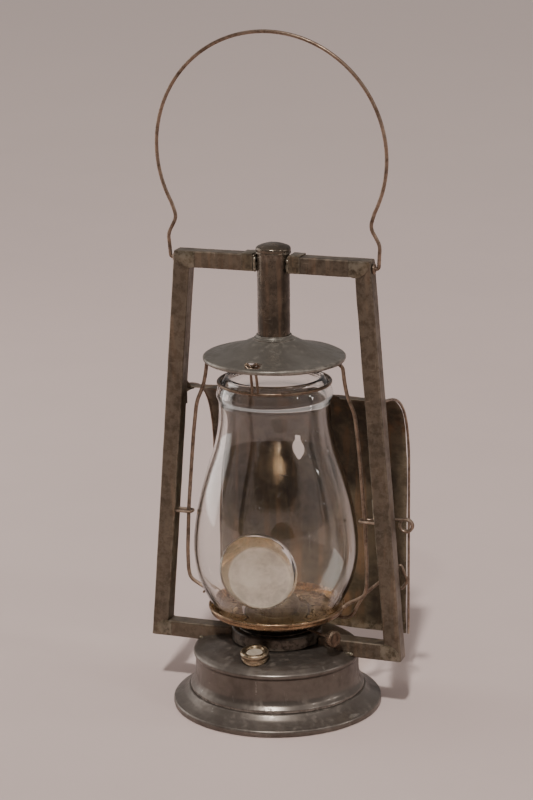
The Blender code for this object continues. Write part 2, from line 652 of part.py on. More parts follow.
def build_globe():
    globe = turned("globe", shell(GLOBE_PROFILE, GLASS), CLEAR_GLASS)
    lens = [(0.0, LENS_BACK), (0.0180, LENS_BACK + 0.0008), (LENS_RADIUS, LENS_BACK + 0.0036),
            (LENS_RADIUS - 0.0010, LENS_FRONT - 0.0092), (0.0205, LENS_FRONT - 0.0043),
            (0.0110, LENS_FRONT - 0.0012), (0.0, LENS_FRONT)]
    mesh = turned_mesh("tool", lens, SMALL_STEPS)
    face_front = Matrix.Rotation(math.radians(90.0), 4, "X")
    turn = Matrix.Rotation(LENS_TURN, 4, "Z")
    joined(globe, placed(mesh, Matrix.Translation((0.0, 0.0, LENS_HEIGHT)) @ turn @ face_front), "UNION")

    rim = PLATE_HEIGHT + SHEET
    turned("globe_plate", [
        (PLATE_HOLE_RADIUS, rim), (PLATE_HOLE_RADIUS, PLATE_HEIGHT), (0.0444, PLATE_HEIGHT),
        (0.0482, PLATE_HEIGHT + 0.0008), (PLATE_RADIUS - 0.0007, PLATE_HEIGHT + 0.0028),
        (PLATE_RADIUS, PLATE_HEIGHT + 0.0056), (PLATE_RADIUS - 0.0004, PLATE_HEIGHT + 0.0070),
        (PLATE_RADIUS - 0.0013, PLATE_HEIGHT + 0.0066), (PLATE_RADIUS - 0.0017, PLATE_HEIGHT + 0.0034),
        (0.0475, PLATE_HEIGHT + 0.0018), (0.0440, rim)], BRONZE)
    hook = [(-PLATE_RADIUS - 0.0014, 0.0050, 0.0772), (-0.0565, 0.0050, 0.0798),
            (-0.0594, 0.0054, 0.0790), (-0.0612, 0.0058, 0.0764)]
    wire("plate_hook", bent(hook, 0.0020), STAPLE_WIRE, RUSTY_WIRE)

    guard = [(0.0476, 0.0, 0.2651), (0.0529, 0.0, 0.2620), (0.0540, 0.0, 0.2510), (0.0562, 0.0, 0.2405),
             (0.0617, 0.0, 0.2280), (0.0645, 0.0, 0.2050), (0.0664, 0.0, 0.1840), (0.0696, 0.0, 0.1450),
             (0.0711, 0.0, 0.1120), (0.0708, 0.0, 0.0980), (0.0680, 0.0, 0.0882), (0.0625, 0.0, 0.0842),
             (0.0562, 0.0, 0.0806), (0.0532, 0.0, 0.0784)]
    hand = {-1.0: "left", 1.0: "right"}
    for side in (-1.0, 1.0):
        wire("guard_wire_" + hand[side], bent(flip(guard, side), 0.0050, 3), GUARD_WIRE, RUSTY_WIRE)

    canopy = turned("canopy", shell(CANOPY_PROFILE, SHEET), CANOPY_TIN)
    slot_front = RETAINER_RADIUS + 0.0072
    joined(canopy, block_mesh("tool", (-CANOPY_SLOT_HALF, -slot_front, CANOPY_EDGE - OVERRUN),
                              (CANOPY_SLOT_HALF, -RETAINER_RADIUS + 0.0012, CANOPY_EDGE + 0.0080)))
    rim_height = CANOPY_EDGE - SHEET - GAP - RIM_WIRE
    ring = arc((0.0, 0.0, 0.0), CANOPY_RADIUS, 0.0, math.tau * 35.0 / 36.0, 35)
    wire("canopy_edge_wire", [(x, z, rim_height) for x, _, z in ring], RIM_WIRE, CANOPY_TIN, ring=True)
    bore = CHIMNEY_RADIUS + GAP
    crest = CANOPY_CREST + GAP
    lip = CHIMNEY_RADIUS + 0.0033
    turned("canopy_sleeve", [
        (bore, CANOPY_CREST - 0.0090), (bore + SHEET, CANOPY_CREST - 0.0090), (bore + SHEET, crest),
        (lip, crest - 0.0002), (lip, crest + SHEET), (bore + SHEET, crest + SHEET + 0.0004),
        (bore + SHEET, SLEEVE_TOP), (bore, SLEEVE_TOP)], CANOPY_TIN, 28)


def build_retainer():
    ring = [(x, z, RETAINER_HEIGHT) for x, _, z in
            arc((0.0, 0.0, 0.0), RETAINER_RADIUS, 0.0, math.tau * 35.0 / 36.0, 35)]
    piece = wire("globe_retainer", ring, RETAINER_WIRE, RUSTY_WIRE, ring=True)
    front = -RETAINER_RADIUS
    for side in (-1.0, 1.0):
        upright = [(side * 0.0021, front, RETAINER_HEIGHT), (side * 0.0021, front - 0.0013, 0.2560),
                   (side * 0.0016, front - 0.0034, 0.2645), (side * 0.0013, front - 0.0048, 0.2695)]
        joined(piece, wire_mesh("tool", bent(upright, 0.0030), RETAINER_WIRE * 0.92), "UNION")
    loop = arc((0.0, front - 0.0052, 0.2716), 0.0033, 0.0, math.tau * 13.0 / 14.0, 13)
    joined(piece, wire_mesh("tool", loop, RETAINER_WIRE * 0.96, ring=True), "UNION")


# ---------------------------------------------------------------- bail, staples and lever

def build_bail():
    pivot = Vector((0.0, 0.0, BAIL_PIVOT))
    low = math.asin(-BAIL_CROWN_DROP / BAIL_RADIUS)
    crown = arc((0.0, 0.0, BAIL_CENTRE), BAIL_RADIUS, low, math.pi - low, 44)
    foot = [(BAIL_FOOT - 0.0096, 0.0, BAIL_PIVOT), (BAIL_FOOT, 0.0, BAIL_PIVOT),
            (BAIL_FOOT + 0.0006, 0.0, BAIL_PIVOT + 0.0098), (BAIL_FOOT + 0.0012, 0.0, BAIL_PIVOT + 0.0173),
            (BAIL_FOOT - 0.0059, 0.0, BAIL_PIVOT + 0.0303)]
    right = bent(foot[:3], 0.0020)[:-1] + bent(foot[2:] + [crown[0]], 0.0035)[:-1]
    left = [(-point[0], point[1], point[2]) for point in right]
    bail = wire("bail", [tuple(p) for p in right] + crown + left[::-1], BAIL_WIRE, RUSTY_WIRE)
    seat(bail, pivot)
    bail.rotation_euler = (BAIL_LEAN, 0.0, 0.0)


def build_staples():
    reach = side_inner(LEFT_STAPLE_HEIGHT) - GAP - 0.0002
    height = LEFT_STAPLE_HEIGHT
    loop = [(reach, STAPLE_HALF, height), (0.0665, STAPLE_HALF, height),
            (0.0665, -STAPLE_HALF, height), (reach, -STAPLE_HALF, height)]
    wire("guide_staple_left", bent(flip(loop, -1.0), 0.0032, 5), STAPLE_WIRE, RUSTY_WIRE)

    height = RIGHT_STAPLE_HEIGHT
    behind = TUBE_DEPTH / 2.0 + 0.0020
    plate_top = height + 0.0180
    plate_low = height + 0.0024
    outline = [(side_inner(plate_top) - GAP, plate_top), (side_inner(plate_low) - GAP, plate_low),
               (side_inner(plate_low) - GAP - FINE_SHEET, plate_low),
               (side_inner(plate_top) - GAP - FINE_SHEET, plate_top)]
    prism("staple_plate_right", front_outline(outline, 1.0, 0.0080), (0.0, 0.0080, 0.0), BRONZE)
    reach = side_inner(height) - GAP - 0.0002
    middle = (side_outer(height) + COIL_RADIUS + 0.0024, 0.0, height - COIL_RADIUS + 0.0012)
    coil = arc(middle, COIL_RADIUS, math.radians(90.0), math.radians(-470.0), 24)
    path = [(reach, -STAPLE_HALF, height), (0.0660, -STAPLE_HALF, height),
            (0.0660, STAPLE_HALF, height), (0.0725, STAPLE_HALF + 0.0002, height),
            (0.0760, behind, height), (side_outer(height) + 0.0010, behind, height + 0.0008)]
    drift = 0.0034
    turns = [(x, behind + drift * step / len(coil), z) for step, (x, _, z) in enumerate(coil)]
    tail = [(side_outer(height) + 0.0036, behind + drift, middle[2] - COIL_RADIUS - 0.0004)]
    wire("guide_staple_right", bent(path + [turns[0]], 0.0028, 4)[:-1] + turns + tail, STAPLE_WIRE,
         RUSTY_WIRE)


def build_lever():
    depth = LEVER_DEPTH
    pivot = Vector((side_outer(LEVER_PIVOT_Z) - LEVER_SET_IN, depth, LEVER_PIVOT_Z))
    eye = 0.0030
    loop = arc((pivot.x, depth, pivot.z), eye, math.radians(135.0), math.radians(-225.0), 14)
    turns = [(x, depth + 0.0030 * step / len(loop), z) for step, (x, _, z) in enumerate(loop)]
    inner = [(0.0450, depth, 0.0676), (0.0530, depth, 0.0674), (0.0568, depth, 0.0700),
             (0.0655, depth, 0.0868), (pivot.x - 0.0090, depth, pivot.z - 0.0048)]
    back = depth + 0.0030
    outer = [(pivot.x + 0.0055, back, pivot.z + 0.0088), (pivot.x + 0.0105, back, pivot.z - 0.0044),
             (pivot.x + 0.0062, back, pivot.z - 0.0104), (pivot.x + 0.0020, back, pivot.z - 0.0102)]
    path = bent(inner + [turns[0]], 0.0030)[:-1] + turns + bent([turns[-1]] + outer, 0.0024)[1:]
    lever = wire("lift_lever", [tuple(point) for point in path], LEVER_WIRE, RUSTY_WIRE)
    seat(lever, pivot)
    post_radius = eye - LEVER_WIRE - GAP
    start = TUBE_DEPTH / 2.0 + GAP
    end = back + LEVER_WIRE + GAP
    post = [(0.0, start), (post_radius + 0.0016, start), (post_radius + 0.0016, start + 0.0007),
            (post_radius, start + 0.0007), (post_radius, end), (post_radius + 0.0018, end),
            (post_radius + 0.0018, end + 0.0007), (0.0, end + 0.0007)]
    mesh = turned_mesh("post", post, 20)
    place = Matrix.Translation((pivot.x, 0.0, pivot.z)) @ Matrix.Rotation(math.radians(-90.0), 4, "X")
    dress("lever_pin", placed(mesh, place), RUSTY_WIRE)


# ---------------------------------------------------------------- hood

HOOD_LINE = [
    (HOOD_FRONT, HOOD_ROOF), (0.0300, 0.2329), (0.0420, 0.2299), (0.0510, 0.2264), (0.0590, 0.2215),
    (0.0660, 0.2150), (0.0715, 0.2068), (0.0755, 0.1970), (0.0782, 0.1860), (HOOD_BACK, 0.1740),
    (HOOD_BACK, HOOD_BOTTOM)]


def build_hood():
    outline = [(-HOOD_HALF_WIDTH, y, z) for y, z in shell(HOOD_LINE, -SHEET)]
    hood = prism("hood_shell", outline, (2.0 * HOOD_HALF_WIDTH, 0.0, 0.0), HOOD_TIN)
    notch = [(0.0, 0.2000), (HOOD_NOTCH_RADIUS, 0.2000), (HOOD_NOTCH_RADIUS, 0.2500), (0.0, 0.2500)]
    joined(hood, turned_mesh("tool", notch, ROUND_STEPS))
    hole = []
    for x, z in ((0.0030, 0.0102), (0.0030, 0.0058), (0.0052, 0.0036), (0.0060, 0.0), (0.0052, -0.0036),
                 (0.0032, -0.0064), (0.0010, -0.0095)):
        hole.append((KEYHOLE_X + x, HOOD_BACK - OVERRUN, KEYHOLE_HEIGHT + z))
    hole += [(2.0 * KEYHOLE_X - x, y, z) for x, y, z in hole[::-1]]
    joined(hood, prism_mesh("tool", hole, (0.0, 2.0 * OVERRUN, 0.0)))
    hand = {-1.0: "left", 1.0: "right"}
    for side in (-1.0, 1.0):
        tip = side * HOOD_HALF_WIDTH
        root = HOOD_ROOF - SHEET * 0.6
        ear = [(tip, HOOD_FRONT, root), (tip - side * 0.0070, HOOD_FRONT, root),
               (tip - side * 0.0010, HOOD_FRONT, HOOD_ROOF + HOOD_EAR),
               (tip, HOOD_FRONT, HOOD_ROOF + HOOD_EAR)]
        joined(hood, prism_mesh("tool", ear, (0.0, SHEET, 0.0)), "UNION")
        edge = side * (HOOD_HALF_WIDTH + GAP + RIM_WIRE)
        path = [(edge, y, z) for y, z in HOOD_LINE]
        wire("hood_edge_wire_" + hand[side], path, RIM_WIRE, RUSTY_WIRE)

        rear = TUBE_DEPTH / 2.0 + GAP
        middle = side * 0.0745
        roof_under = HOOD_ROOF - SHEET - GAP
        rise = (HOOD_LINE[1][1] - HOOD_ROOF) / (HOOD_LINE[1][0] - HOOD_FRONT)
        tip_y = 0.0215
        lip_y = HOOD_FRONT - 2.0 * GAP
        start_z = roof_under - 0.0003
        end_z = roof_under - 0.0003 + rise * (tip_y - HOOD_FRONT)
        cleat = [(rear, 0.2240), (rear, 0.2420), (rear + FINE_SHEET, 0.2420), (rear + FINE_SHEET, start_z),
                 (lip_y, start_z), (tip_y, end_z), (tip_y, end_z - FINE_SHEET),
                 (lip_y, start_z - FINE_SHEET), (rear + FINE_SHEET, start_z - FINE_SHEET),
                 (rear + FINE_SHEET, 0.2240)]
        prism("hood_cleat_" + hand[side], [(middle - 0.0025, y, z) for y, z in cleat],
              (0.0050, 0.0, 0.0), JAPANNED_IRON)

    wall = FINE_SHEET
    seat_y = DRUM_RADIUS + GAP
    inner = HOOD_BACK - SHEET - GAP
    edge = HOOD_BACK - GAP
    floor = HOOD_BOTTOM - GAP
    clip = [(seat_y, CLIP_LOW), (seat_y, CLIP_HIGH), (seat_y + wall, CLIP_HIGH), (seat_y + wall, floor),
            (inner - wall, floor), (inner - wall, CLIP_LIP), (inner, CLIP_LIP), (inner, floor),
            (edge, floor), (edge, floor - wall), (seat_y + wall, floor - wall),
            (seat_y + wall, CLIP_LOW)]
    prism("hood_lower_clip", [(-CLIP_HALF_WIDTH, y, z) for y, z in clip],
          (2.0 * CLIP_HALF_WIDTH, 0.0, 0.0), JAPANNED_IRON)


def smooth_all():
    for piece in bpy.context.scene.objects:
        piece.data.shade_smooth()
        piece.data.set_sharp_from_angle(angle=math.radians(32.0))


for old in list(bpy.data.objects):
    bpy.data.objects.remove(old)
build_foot()
build_fount()
build_filler()
build_burner()
build_air_parts()
build_frame()
build_chimney()
build_globe()
build_retainer()
build_bail()
build_staples()
build_lever()
build_hood()
smooth_all()
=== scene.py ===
"""The look of the hooded railway lantern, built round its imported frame, in metres.

The lens and filler cap face -Y, the hood stands behind at +Y and the side tubes at -X and +X.
"""

import math

import bmesh
import bpy
from mathutils import Matrix, Vector, noise


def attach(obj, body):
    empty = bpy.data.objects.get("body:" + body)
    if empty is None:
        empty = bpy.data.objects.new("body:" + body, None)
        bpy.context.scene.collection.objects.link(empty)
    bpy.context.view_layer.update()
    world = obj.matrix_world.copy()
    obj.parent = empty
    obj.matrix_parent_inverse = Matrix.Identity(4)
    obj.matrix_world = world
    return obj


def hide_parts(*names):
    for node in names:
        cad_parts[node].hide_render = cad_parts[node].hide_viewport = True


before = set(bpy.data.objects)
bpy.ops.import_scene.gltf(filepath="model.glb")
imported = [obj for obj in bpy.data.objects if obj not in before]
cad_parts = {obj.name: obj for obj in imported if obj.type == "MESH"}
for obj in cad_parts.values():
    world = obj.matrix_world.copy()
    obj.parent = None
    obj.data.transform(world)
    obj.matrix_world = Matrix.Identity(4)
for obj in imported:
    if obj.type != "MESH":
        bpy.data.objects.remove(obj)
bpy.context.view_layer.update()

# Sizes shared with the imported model
SHEET = 0.0009
TUBE_WIDTH = 0.0126
TUBE_DEPTH = 0.0124
ARM_LOW = 0.0425
ARM_TOP = 0.0550
BAR_LOW = 0.3305
BAR_TOP = 0.3430
HALF_BOTTOM = 0.0993
HALF_TOP = 0.0753
CHIMNEY_RADIUS = 0.0119
BAIL_PIVOT = 0.3367
SHAFT_TURN = math.radians(-28.0)
SHAFT_HEIGHT = 0.0616
HOOD_HALF = 0.0776
HOOD_WALL = 0.0008
CHIMNEY_LOW = 0.2560
CHIMNEY_HIGH = 0.3458
DOME_WALL = 0.0007
TIN_WALL = 0.0008
LENS_HEIGHT = 0.1190
LENS_TURN = math.radians(6.0)
KEYHOLE_X = -0.0082
KEYHOLE_Z = 0.1765
FRONT = (0.0, 0.0, 0.22)        # what the side lamps aim at
SIDES = ((-1.0, "left"), (1.0, "right"))
FINE = 0.0000015        # points closer than this are one


# ---------------------------------------------------------------- bench tools

def clear_bench():
    """Leave edit mode and put every piece down."""
    if bpy.context.mode != "OBJECT":
        bpy.ops.object.mode_set(mode="OBJECT")
    bpy.ops.object.select_all(action="DESELECT")


def pick_up(piece):
    """Select this piece alone."""
    clear_bench()
    piece.select_set(True)
    bpy.context.view_layer.objects.active = piece
    return piece


def open_up(piece, kind="VERT"):
    """Take the piece into edit mode with everything selected."""
    pick_up(piece)
    bpy.ops.object.mode_set(mode="EDIT")
    bpy.ops.mesh.select_mode(type=kind)
    bpy.ops.mesh.select_all(action="SELECT")


def clean(piece):
    """Weld doubles and turn the faces outward."""
    open_up(piece)
    bpy.ops.mesh.remove_doubles(threshold=FINE)
    bpy.ops.mesh.normals_make_consistent(inside=False)
    clear_bench()
    return piece


def soften(piece, angle=35.0):
    """Settle the piece's place into its mesh and shade it smooth up to the angle."""
    pick_up(piece)
    bpy.ops.object.transform_apply(location=True, rotation=True, scale=True)
    bpy.ops.object.shade_smooth_by_angle(angle=math.radians(angle))
    clear_bench()
    return piece


def rounded(corners, bend, steps=5):
    """The line through the corners with every inner corner rounded off."""
    line = [Vector(corners[0])]
    for before, corner, after in zip(corners, corners[1:], corners[2:]):
        corner = Vector(corner)
        back = Vector(before) - corner
        ahead = Vector(after) - corner
        reach = min(bend, back.length * 0.48, ahead.length * 0.48)
        start = corner + back.normalized() * reach
        end = corner + ahead.normalized() * reach
        for step in range(steps + 1):
            share = step / steps
            line.append(start.lerp(corner, share).lerp(corner.lerp(end, share), share))
    line.append(Vector(corners[-1]))
    return line


def eased(points, cuts=4):
    """A smooth line through every point."""
    points = [Vector(point) for point in points]
    line = []
    for index in range(len(points) - 1):
        a = points[max(index - 1, 0)]
        b = points[index]
        c = points[index + 1]
        d = points[min(index + 2, len(points) - 1)]
        for step in range(cuts):
            t = step / cuts
            line.append(0.5 * ((2.0 * b) + (c - a) * t + (2.0 * a - 5.0 * b + 4.0 * c - d) * t * t
                               + (3.0 * b - a - 3.0 * c + d) * t * t * t))
    line.append(points[-1])
    return line


def walled(line, thickness):
    """The line, and the same line moved inward by the sheet's thickness, as one closed outline."""
    line = [Vector(point) for point in line]
    inner = []
    for index, point in enumerate(line):
        along = (line[min(index + 1, len(line) - 1)] - line[max(index - 1, 0)]).normalized()
        across = 0.0 if point.x < FINE else point.x - along.y * thickness
        inner.append(Vector((max(across, 0.0), point.y + along.x * thickness)))
    return line + inner[::-1]


def ring(radius, height, count):
    """Points round a level circle."""
    return [(radius * math.cos(math.tau * n / count), radius * math.sin(math.tau * n / count), height)
            for n in range(count)]


def arc(centre, radius, first, last, count):
    """Points round a circle in the XZ plane, in degrees from +X towards +Z."""
    points = []
    for n in range(count + 1):
        angle = math.radians(first + (last - first) * n / count)
        points.append((centre[0] + radius * math.cos(angle), centre[1], centre[2] + radius * math.sin(angle)))
    return points


def draw(line):
    """Draw the line vertex by vertex from one point, in edit mode."""
    clear_bench()
    bpy.ops.mesh.primitive_plane_add(size=0.001, location=line[0])
    piece = bpy.context.object
    bpy.ops.object.mode_set(mode="EDIT")
    bpy.ops.mesh.select_mode(type="VERT")
    bpy.ops.mesh.merge(type="CENTER")
    for before, after in zip(line, line[1:]):
        step = Vector(after) - Vector(before)
        bpy.ops.mesh.extrude_region_move(TRANSFORM_OT_translate={"value": step})
    bpy.ops.mesh.select_all(action="SELECT")
    return piece


def turned(outline, steps=96, closed=True, sweep=360.0, start=0.0):
    """Spin an outline of (radius, height) points round the upright axis."""
    line = [(point[0], 0.0, point[1]) for point in outline]
    if closed:
        line.append(line[0])
    piece = draw(line)
    bpy.ops.mesh.remove_doubles(threshold=FINE)
    if sweep < 360.0:
        bpy.ops.mesh.edge_face_add()
    bpy.ops.mesh.spin(steps=steps, angle=math.radians(sweep), center=(0.0, 0.0, 0.0), axis=(0.0, 0.0, 1.0))
    bpy.ops.mesh.select_all(action="SELECT")
    bpy.ops.mesh.remove_doubles(threshold=FINE)
    bpy.ops.mesh.normals_make_consistent(inside=False)
    clear_bench()
    soften(piece)
    if start:
        piece.data.transform(Matrix.Rotation(math.radians(start), 4, "Z"))
    return piece


def plate(outline, travel, bevel=0.0):
    """Fill a flat outline and carry it along the travel, with its edges eased."""
    piece = draw(list(outline) + [outline[0]])
    bpy.ops.mesh.remove_doubles(threshold=FINE)
    bpy.ops.mesh.edge_face_add()
    bpy.ops.mesh.extrude_region_move(TRANSFORM_OT_translate={"value": travel})
    clean(piece)
    if bevel:
        open_up(piece, "EDGE")
        bpy.ops.mesh.select_all(action="DESELECT")
        bpy.ops.mesh.edges_select_sharp(sharpness=math.radians(40.0))
        bpy.ops.mesh.bevel(offset=bevel, segments=2, affect="EDGES")
        clear_bench()
    return soften(piece)


def wire(path, thickness, closed=False, roundness=4):
    """Bend a round wire along the path."""
    clear_bench()
    bpy.ops.curve.primitive_nurbs_path_add()
    piece = bpy.context.object
    rod = piece.data
    rod.splines.clear()
    spline = rod.splines.new("POLY")
    spline.points.add(len(path) - 1)
    for knot, point in zip(spline.points, path):
        knot.co = (point[0], point[1], point[2], 1.0)
    spline.use_cyclic_u = closed
    rod.bevel_depth = thickness
    rod.bevel_resolution = roundness
    rod.use_fill_caps = not closed
    bpy.ops.object.convert(target="MESH")
    clean(piece)
    return soften(piece, 50.0)


def joined(*pieces):
    """Make several pieces one object."""
    pick_up(pieces[0])
    for piece in pieces[1:]:
        piece.select_set(True)
    bpy.ops.object.join()
    clear_bench()
    return pieces[0]


def cut(piece, tool, operation="DIFFERENCE"):
    """Cut the tool out of the piece, or weld it on, and put the tool away."""
    pick_up(piece)
    bpy.ops.object.modifier_add(type="BOOLEAN")
    change = piece.modifiers[-1]
    change.operation = operation
    change.solver = "EXACT"
    change.object = tool
    bpy.ops.object.modifier_apply(modifier=change.name)
    clear_bench()
    bpy.data.objects.remove(tool)
    return soften(piece)


def block(low, high):
    """A plain cutter between two corners."""
    clear_bench()
    middle = [(a + b) / 2.0 for a, b in zip(low, high)]
    bpy.ops.mesh.primitive_cube_add(size=1.0, location=middle, scale=[b - a for a, b in zip(low, high)])
    piece = bpy.context.object
    bpy.ops.object.transform_apply(location=True, rotation=True, scale=True)
    return piece


def moved(piece, matrix):
    """Set the piece's mesh in its place."""
    piece.data.transform(matrix)
    return piece


def dented(piece, depth, size, seed=0.0):
    """Push the surface in and out a little, as handled sheet metal is."""
    normals = [vertex.normal.copy() for vertex in piece.data.vertices]
    for vertex, normal in zip(piece.data.vertices, normals):
        push = noise.noise(vertex.co / size + Vector((seed, seed * 0.7, -seed)))
        vertex.co += normal * (push * depth)
    piece.data.update()
    return piece


def split_lengthwise(piece, low, high, count, axis=2):
    """Slice the piece across, so that it can be dented between its ends."""
    open_up(piece)
    for n in range(1, count):
        place = [0.0, 0.0, 0.0]
        place[axis] = low + (high - low) * n / count
        normal = [0.0, 0.0, 0.0]
        normal[axis] = 1.0
        bpy.ops.mesh.select_all(action="SELECT")
        bpy.ops.mesh.bisect(plane_co=place, plane_no=normal)
    clear_bench()
    return piece


def done(piece, name, body, slot, finish, *nodes):
    """Name the piece, give it its finish, and hang it on its body in place of the plain nodes."""
    piece.name = name
    piece.data.name = name
    piece.data.materials.clear()
    piece.data.materials.append(finish)
    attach(piece, body)
    if nodes:
        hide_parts(*nodes)
    return piece


def side_outer(height):
    """How far out the outer face of a side tube is at this height."""
    share = (height - ARM_LOW) / (BAR_TOP - ARM_LOW)
    return HALF_BOTTOM + (HALF_TOP - HALF_BOTTOM) * share


def side_inner(height):
    """How far out the inner face of a side tube is at this height."""
    return side_outer(height) - TUBE_WIDTH


def mirrored(points, side):
    """The points as they are on the right, or mirrored to the left."""
    return [(side * point[0], point[1], point[2]) for point in points]


# ---------------------------------------------------------------- finishes

def put(tree, kind, settings=None, **sockets):
    """Add a node; each socket gets a plain value or the socket that feeds it."""
    made = tree.nodes.new("ShaderNode" + kind)
    for key, value in (settings or {}).items():
        setattr(made, key, value)
    for key, value in sockets.items():
        feed(tree, made.inputs[key.replace("_", " ")], value)
    return made


def feed(tree, socket, value):
    """Link a socket to this one, or set it to a plain value."""
    if isinstance(value, bpy.types.NodeSocket):
        tree.links.new(value, socket)
    else:
        socket.default_value = value


def sums(tree, operation, first, second):
    """Add, subtract or multiply two values."""
    made = tree.nodes.new("ShaderNodeMath")
    made.operation = operation
    made.use_clamp = operation in ("MULTIPLY", "ADD")
    feed(tree, made.inputs[0], first)
    feed(tree, made.inputs[1], second)
    return made.outputs[0]


def between(tree, value, low, high, start=0.0, end=1.0):
    """Spread the value from low..high to start..end, smoothly."""
    made = put(tree, "MapRange", {"interpolation_type": "SMOOTHSTEP"}, Value=value)
    for index, number in zip((1, 2, 3, 4), (low, high, start, end)):
        made.inputs[index].default_value = number
    return made.outputs[0]


def tint(tree, share, first, second, kind="MIX"):
    """Mix two colours by the share."""
    made = put(tree, "Mix", {"data_type": "RGBA", "blend_type": kind})
    feed(tree, made.inputs[0], share)
    for socket, value in ((made.inputs[6], first), (made.inputs[7], second)):
        feed(tree, socket, value if isinstance(value, bpy.types.NodeSocket) else (*value, 1.0))
    return made.outputs[2]


def stretched(tree, vector, scale):
    """The pattern's coordinates with each axis scaled by itself."""
    made = put(tree, "Mapping", Vector=vector)
    made.inputs["Scale"].default_value = scale
    return made.outputs[0]


def new_group(name, inputs, outputs):
    """An empty node group with named sockets; a socket is (name, kind, value)."""
    tree = bpy.data.node_groups.new(name, "ShaderNodeTree")
    for label, kind, value in inputs:
        socket = tree.interface.new_socket(name=label, in_out="INPUT", socket_type="NodeSocket" + kind)
        if value is not None:
            socket.default_value = value
    for label, kind in outputs:
        tree.interface.new_socket(name=label, in_out="OUTPUT", socket_type="NodeSocket" + kind)
    return tree, tree.nodes.new("NodeGroupInput").outputs, tree.nodes.new("NodeGroupOutput").inputs


def cloudy_patches():
    """Soft light and dark patches at two sizes."""
    tree, given, out = new_group("cloudy_patches", [("Vector", "Vector", None), ("Scale", "Float", 40.0)],
                                 [("Mask", "Float")])
    broad = put(tree, "TexNoise", Vector=given["Vector"], Scale=given["Scale"], Detail=5.0, Roughness=0.62)
    small = put(tree, "TexNoise", Vector=stretched(tree, given["Vector"], (5.3, 5.3, 5.3)),
                Scale=given["Scale"], Detail=4.0, Roughness=0.6, Distortion=0.4)
    both = sums(tree, "ADD", sums(tree, "MULTIPLY", broad.outputs[0], 0.65),
                sums(tree, "MULTIPLY", small.outputs[0], 0.35))
    feed(tree, out["Mask"], between(tree, both, 0.36, 0.62))
    return tree


def water_runs():
    """Upright streaks, as rust and lamp black leave on standing metal."""
    tree, given, out = new_group("water_runs", [("Vector", "Vector", None), ("Scale", "Float", 260.0)],
                                 [("Mask", "Float")])
    narrow = put(tree, "TexNoise", Vector=stretched(tree, given["Vector"], (1.0, 1.0, 0.055)),
                 Scale=given["Scale"], Detail=4.0, Roughness=0.55, Distortion=0.25)
    broken = put(tree, "TexNoise", Vector=given["Vector"], Scale=55.0, Detail=3.0)
    runs = sums(tree, "MULTIPLY", between(tree, narrow.outputs[0], 0.48, 0.66),
                between(tree, broken.outputs[0], 0.34, 0.60))
    feed(tree, out["Mask"], runs)
    return tree


def rubbed_edges():
    """Bare metal where hands and shelves rub the edges."""
    tree, given, out = new_group("rubbed_edges", [("Vector", "Vector", None), ("Width", "Float", 0.55)],
                                 [("Mask", "Float")])
    shape = put(tree, "NewGeometry")
    edge = put(tree, "MapRange", Value=shape.outputs["Pointiness"])
    edge.inputs[1].default_value = 0.505
    feed(tree, edge.inputs[2], given["Width"])
    patchy = put(tree, "TexNoise", Vector=given["Vector"], Scale=170.0, Detail=5.0, Roughness=0.7)
    feed(tree, out["Mask"], sums(tree, "MULTIPLY", edge.outputs[0],
                                 between(tree, patchy.outputs[0], 0.38, 0.58)))
    return tree


def fine_scratches():
    """Short hair scratches in two directions."""
    tree, given, out = new_group("fine_scratches", [("Vector", "Vector", None), ("Scale", "Float", 420.0)],
                                 [("Mask", "Float")])
    masks = []
    for turn, thin in ((0.6, (0.14, 1.0, 1.0)), (-0.9, (1.0, 1.0, 0.12))):
        aimed = put(tree, "Mapping", Vector=given["Vector"])
        aimed.inputs["Rotation"].default_value = (turn, turn * 0.7, turn)
        aimed.inputs["Scale"].default_value = thin
        hairs = put(tree, "TexNoise", Vector=aimed.outputs[0], Scale=given["Scale"], Detail=2.0,
                    Distortion=0.6)
        masks.append(between(tree, hairs.outputs[0], 0.66, 0.74))
    where = put(tree, "TexNoise", Vector=given["Vector"], Scale=70.0, Detail=3.0)
    feed(tree, out["Mask"], sums(tree, "MULTIPLY", sums(tree, "ADD", masks[0], masks[1]),
                                 between(tree, where.outputs[0], 0.50, 0.62)))
    return tree


def small_pits():
    """Rust pits and grit, as a height and a mask."""
    tree, given, out = new_group("small_pits", [("Vector", "Vector", None), ("Scale", "Float", 900.0)],
                                 [("Height", "Float"), ("Mask", "Float")])
    cells = put(tree, "TexVoronoi", Vector=given["Vector"], Scale=given["Scale"], Randomness=1.0)
    where = put(tree, "TexNoise", Vector=given["Vector"], Scale=90.0, Detail=4.0, Roughness=0.65)
    area = between(tree, where.outputs[0], 0.46, 0.64)
    pit = sums(tree, "MULTIPLY", between(tree, cells.outputs["Distance"], 0.05, 0.34, 1.0, 0.0), area)
    feed(tree, out["Mask"], pit)
    feed(tree, out["Height"], sums(tree, "SUBTRACT", 1.0, pit))
    return tree


def settled_dust():
    """Pale dust on faces that look up."""
    tree, given, out = new_group("settled_dust", [("Vector", "Vector", None)], [("Mask", "Float")])
    shape = put(tree, "NewGeometry")
    parts = put(tree, "SeparateXYZ", Vector=shape.outputs["Normal"])
    up = between(tree, parts.outputs["Z"], 0.35, 0.98)
    patchy = put(tree, "TexNoise", Vector=given["Vector"], Scale=110.0, Detail=6.0, Roughness=0.7)
    feed(tree, out["Mask"], sums(tree, "MULTIPLY", up, between(tree, patchy.outputs[0], 0.30, 0.75)))
    return tree


GROUPS = {maker.__name__: maker() for maker in
          (cloudy_patches, water_runs, rubbed_edges, fine_scratches, small_pits, settled_dust)}


def effect(tree, name, vector, **values):
    """Place one of the shared effects in a finish."""
    made = tree.nodes.new("ShaderNodeGroup")
    made.node_tree = GROUPS[name]
    feed(tree, made.inputs["Vector"], vector)
    for key, value in values.items():
        feed(tree, made.inputs[key], value)
    return made.outputs


